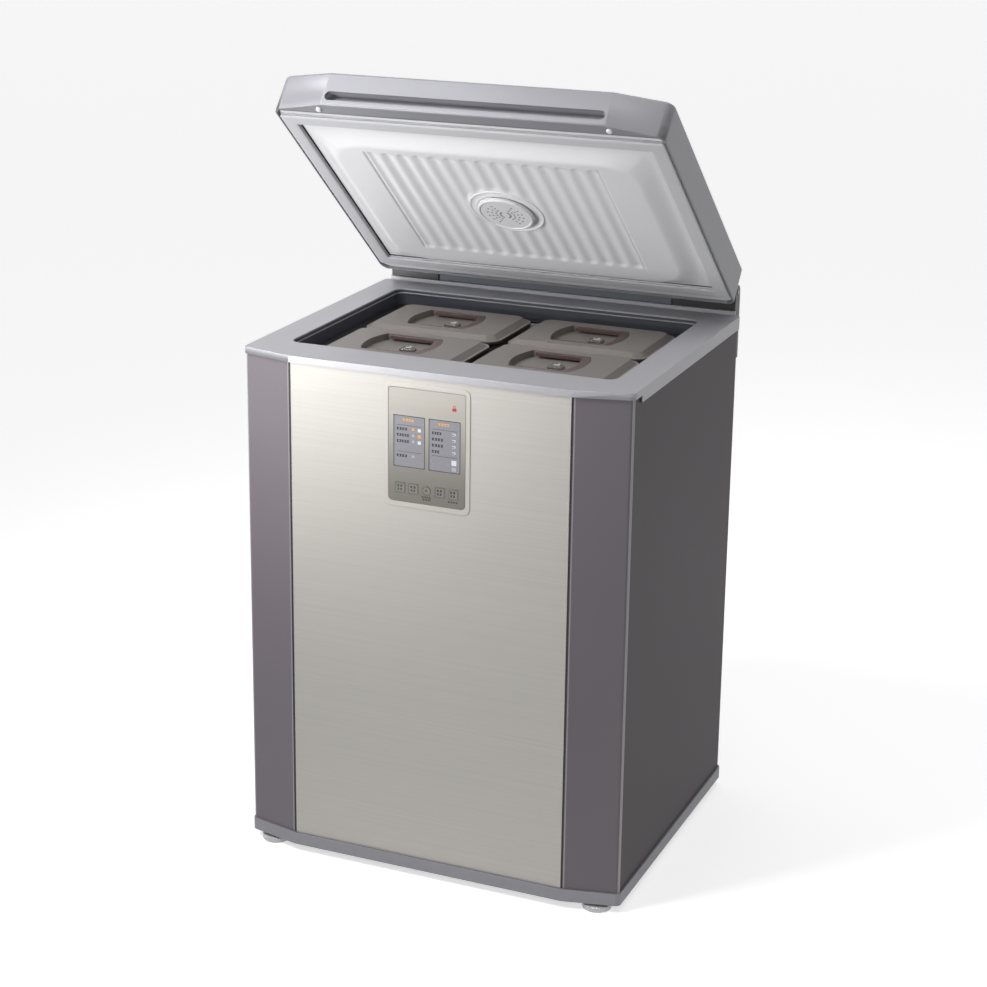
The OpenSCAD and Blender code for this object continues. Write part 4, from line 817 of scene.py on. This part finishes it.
def wave_depth(x, y):
    """How far the waved field is pushed into the lid at one spot, in millimetres."""
    across = (x + FIELD_W / 2) / wave_pitch
    if not 0 < across < WAVES:
        return 0.0
    trough = WAVE_H * (1 - math.cos(math.tau * across)) / 2
    off_middle = min(abs(across % 1 - 0.5) * 2, 1.0)
    tip = (1 - math.sqrt(1 - off_middle ** 2)) * wave_pitch * 0.5
    along = smooth_step((FIELD_D / 2 - 3 - tip - abs(y - FIELD_Y)) / 6)
    flat = smooth_step((math.hypot(x, y - CAP_Y) - CAP_FLAT_R) / 5)
    groove = GROOVE_H * math.exp(-((FIELD_W / 2 - 2 - abs(x)) / GROOVE_W) ** 2)
    groove *= smooth_step((FIELD_D / 2 - 2 - abs(y - FIELD_Y)) / 3)
    return trough * along * flat + groove


def liner_height(x, y):
    """Height of the liner's lower face at one spot of the shut lid, in millimetres."""
    inside = -beyond(x, y - OPENING_Y, FOOT_W, FOOT_D, FOOT_R)
    outside_flat = beyond(x, y - OPENING_Y, FLAT_W, FLAT_D, FLAT_R)
    if inside <= 0:
        return FLANGE_Z
    rise = smooth_step(inside / (inside + max(outside_flat, 0.0)))
    return FLANGE_Z - (FLANGE_Z - PLUG_Z) * rise + wave_depth(x, y)


# %% Liner sheet
liner_w, liner_d = liner_high.x - liner_low.x, liner_high.y - liner_low.y
middle = (liner_low + liner_high) / 2
COLUMNS_PER_WAVE, ROWS, SHEET_R = 17, 170, 16.0
columns = round(COLUMNS_PER_WAVE * liner_w / wave_pitch)
shape = bmesh.new()
bmesh.ops.create_grid(shape, x_segments=columns, y_segments=ROWS, size=0.5,
                      matrix=(Matrix.Translation((0, middle.y, 0))
                              @ Matrix.Diagonal((liner_w, liner_d, 1, 1))))
for vert in shape.verts:
    vert.co.z = liner_height(vert.co.x, vert.co.y)
    over = beyond(vert.co.x, vert.co.y - middle.y, liner_w, liner_d, SHEET_R)
    if over > 0:
        core = Vector((math.copysign(liner_w / 2 - SHEET_R, vert.co.x),
                       middle.y + math.copysign(liner_d / 2 - SHEET_R, vert.co.y), vert.co.z))
        vert.co -= (vert.co - core).normalized() * over
rim_edges = [edge for edge in shape.edges if edge.is_boundary]
pulled = bmesh.ops.extrude_edge_only(shape, edges=rim_edges)["geom"]
for part in pulled:
    if isinstance(part, bmesh.types.BMVert):
        part.co.z = liner_high.z
bmesh.ops.edgeloop_fill(shape, edges=[edge for edge in shape.edges if edge.is_boundary])
dress(shape, "liner_sheet", "liner_plastic", "lid", ["lid_liner"], IN_LID)

# %% [markdown]
# ### Deodoriser and gasket
#
# The deodoriser's cap sits in a double ring. It has a raised rim to grip when it is
# twisted off. The CAD cap has two fans of fine holes, 1.1 mm in radius. A slightly
# larger dark disc covers each, so that the holes show from a distance. The gasket
# is an extruded soft profile with a flat magnet face, welded at its corners.

# %% Ring, cap and gasket
shape = bmesh.new()
cap_axis = Matrix.Translation((0, CAP_Y, 0))
lathe(shape, [(20, PLUG_Z + 3.6), (57.5, PLUG_Z + 3.6), (58, PLUG_Z), (57.6, PLUG_Z - 0.9),
              (56.6, PLUG_Z - 1.4), (55.2, PLUG_Z - 1.4), (54.3, PLUG_Z - 0.8),
              (53.8, PLUG_Z - 0.3), (48.5, PLUG_Z - 0.3), (47.8, PLUG_Z - 0.9),
              (46.8, PLUG_Z - 1.3), (45.2, PLUG_Z - 1.3), (44.6, PLUG_Z - 0.4),
              (20, PLUG_Z - 0.4)], cap_axis, steps=96)
dress(shape, "deodoriser_ring", "liner_plastic", "lid", into=IN_LID)

cap_low, cap_high = node_box("filter_cap", IN_LID)
cap_r = (cap_high.x - cap_low.x) / 2
shape = cad_shape("filter_cap", IN_LID)
ease_edges(shape, 1.2, where=lambda spot: math.hypot(spot.x, spot.y - CAP_Y) > cap_r - 2)
dress(shape, "filter_cap_eased", "filter_plastic", "filter_cap", ["filter_cap"], IN_LID)
shape = bmesh.new()
lathe(shape, [(cap_r - 5.5, cap_low.z + 1), (cap_r - 4.9, cap_low.z - 0.5),
              (cap_r - 3.8, cap_low.z - 1.1), (cap_r - 2.4, cap_low.z - 1.1),
              (cap_r - 1.2, cap_low.z - 0.3), (cap_r - 1.0, cap_low.z + 1)], cap_axis, steps=96)
dress(shape, "filter_cap_rim", "filter_plastic", "filter_cap", into=IN_LID)
VENT_R, VENT_T, FIRST_VENT, VENT_PITCH = 1.5, 0.5, 8, 6.5
cap_face = Matrix.Translation((0, CAP_Y, cap_low.z + 0.2))
shape = bmesh.new()
for side in (0, 180):
    for row in range(4):
        arm = Matrix.Translation((FIRST_VENT + VENT_PITCH * row, 0, 0))
        for angle in range(-55, 56, 22):
            place = cap_face @ Matrix.Rotation(math.radians(side + angle), 4, "Z") @ arm
            bmesh.ops.create_cone(shape, cap_ends=True, segments=12, radius1=VENT_R,
                                  radius2=VENT_R, depth=VENT_T, matrix=place)
dress(shape, "filter_cap_vents", "vent_shadow", "filter_cap", into=IN_LID, smooth=False)

# Distance out from the seal's opening, and drop below its top
gasket_profile = ((0, 0.0), (0.3, 1.4), (1.8, 2.0), (1.8, 2.8), (0.2, 3.4), (0.2, 5.0),
                  (1.6, 5.9), (5, 6.2), (17, 6.2), (20.2, 5.8), (21.6, 4.6), (22, 3.0),
                  (20.8, 2.0), (21.6, 1.0), (21.8, 0.0))
shape = loft(bmesh.new(), [(seal_w + 2 * out, seal_d + 2 * out, 1.5 + 0.1 * out,
                            gasket_high.z - drop, seal_y) for out, drop in gasket_profile],
             endless=True, corner_steps=4)
dress(shape, "gasket_bellows", "gasket_rubber", "lid", ["lid_gasket"], IN_LID)
# A black band just inside the gasket paints the shadow in the gap between the gasket and the liner
SHADOW_W = 2.4
shadow_profile = ((-1, -0.2), (-1, 0.25), (SHADOW_W, 0.25), (SHADOW_W, -0.2))
shape = loft(bmesh.new(), [(seal_w - 2 * inset, seal_d - 2 * inset, 1.5, FLANGE_Z - drop, seal_y)
                           for inset, drop in shadow_profile], endless=True, corner_steps=4)
dress(shape, "gasket_gap", "mount_rubber", "lid", into=IN_LID)

shape = cad_shape("lid_bumpers", IN_LID)
bumper_z = node_box("lid_bumpers", IN_LID)[0].z
ease_edges(shape, 2.6, segments=5, where=lambda spot: spot.z < bumper_z + 0.2)
dress(shape, "rest_bumpers", "bumper_plastic", "lid", ["lid_bumpers"], IN_LID)

# %% [markdown]
# ## Containers
#
# Four brown polypropylene boxes with lids fill the tub's upper layer. Each lid has
# a raised middle with a sunk recess. A translucent brown handle folds down into
# it, beside a clear vent valve. The CAD lid and its valve are one mesh, so the
# valve is cut from the copy and built again in its own clear plastic.

# %% Boxes, lids, valves and handles
VALVE_W, VALVE_D, VALVE_H = 24.0, 16.0, 4.0
VALVE_SHIFT = 6.0
RECESS_DEPTH = 9.5


def on_valve(point, middle, floor_z):
    """Whether a point is on the valve that the CAD lid carries."""
    return (abs(point.x - middle.x - VALVE_SHIFT) < VALVE_W / 2 + 0.1
            and abs(point.y - middle.y) < VALVE_D / 2 + 0.1 and point.z > floor_z - 0.05)


for spot_name in ("front_left", "front_right", "rear_left", "rear_right"):
    shape = cad_shape("box_" + spot_name)
    ease_edges(shape, 0.5)
    node = "box_" + spot_name
    dress(shape, node + "_eased", "container_plastic", node, [node])

    node = "cover_" + spot_name
    low, high = node_box(node)
    middle = (low + high) / 2
    floor_z = high.z - RECESS_DEPTH
    shape = cad_shape(node)
    block = [face for face in shape.faces
             if all(on_valve(vert.co, middle, floor_z) for vert in face.verts)]
    bmesh.ops.delete(shape, geom=block, context="FACES")
    bmesh.ops.edgeloop_fill(shape, edges=[edge for edge in shape.edges if edge.is_boundary])
    ease_edges(shape, 1.0, where=lambda spot: spot.z > floor_z - 1)
    dress(shape, node + "_eased", "container_cover", node, [node])

    node = "handle_" + spot_name
    shape = cad_shape(node)
    ease_edges(shape, 1.2)
    dress(shape, node + "_eased", "handle_plastic", node, [node])

    shape = bmesh.new()
    valve_x = middle.x + VALVE_SHIFT
    loft(shape, [(VALVE_W - 2 * inset, VALVE_D - 2 * inset, 4 - 0.5 * inset, floor_z + z,
                  middle.y, valve_x)
                 for inset, z in ((0, -0.5), (0, 2.6), (0.5, 3.5), (1.6, VALVE_H), (3.2, VALVE_H),
                                  (3.8, VALVE_H - 0.7), (6, VALVE_H - 0.7))])
    dress(shape, "vent_" + spot_name, "clear_vent", "cover_" + spot_name)
    shape = bmesh.new()
    nub = Matrix.Translation((valve_x + VALVE_W / 4, middle.y, floor_z + VALVE_H - 0.9))
    lathe(shape, [(0.2, 0), (3.2, 0), (3.0, 2.6), (2.4, 3.9), (1.2, 4.3), (0.2, 4.4)], nub,
          steps=32)
    slab(shape, (valve_x - 3, middle.y - 1.4, floor_z + VALVE_H - 0.8),
         (valve_x + VALVE_W / 4, middle.y + 1.4, floor_z + VALVE_H + 1.6), 0.6)
    dress(shape, "vent_nub_" + spot_name, "vent_knob", "cover_" + spot_name)

# %% [markdown]
# ## Back of the cabinet
#
# The cooling unit sits behind a slotted cover that is held by screws. The photograph
# doesn't show the back, so all of it is a guess at what such an object has.

# %% Screws
def screw(shape, spot, facing, radius=3.6):
    """Plain pan head screw. `facing` turns its axis from up to where it looks."""
    place = Matrix.Translation(spot) @ facing
    lathe(shape, [(0.05, -1), (radius, -1), (radius, 0.7), (radius - 0.5, 1.4), (radius - 1.4, 1.9),
                  (0.05, 2.1)], place, steps=24)


backwards = Matrix.Rotation(math.radians(-90), 4, "X")
cover_low, cover_high = node_box("machine_cover")
shape = bmesh.new()
SCREW_SHARES, SCREW_IN = (0.02, 0.35, 0.65, 0.98), 5
for share in SCREW_SHARES:
    for z in (cover_low.z + SCREW_IN, cover_high.z - SCREW_IN):
        x = cover_low.x + share * (cover_high.x - cover_low.x)
        screw(shape, (x, cover_high.y, z), backwards)
dress(shape, "machine_cover_screws", "steel_pin", "cabinet")

for node in ("compressor", "terminal_box", "fan_frame", "roller_left", "roller_right",
             "hinge_brackets", "hinge_arms", "cord_gland"):
    shape = cad_shape(node)
    ease_edges(shape, 0.6, segments=2)
    dress(shape, node + "_eased", slot_of[node], body_of[node], [node])

# %% [markdown]
# ## Finish of the rest
#
# What isn't replaced above is inside the cabinet: the foam, the tub, the pipes and
# the springs. Those nodes keep their CAD shape and only get their material.

# %% Materials of the nodes that stay
for node, thing in frame["nodes"].items():
    thing.data.materials.clear()
    thing.data.materials.append(finish[slot_of[node]])
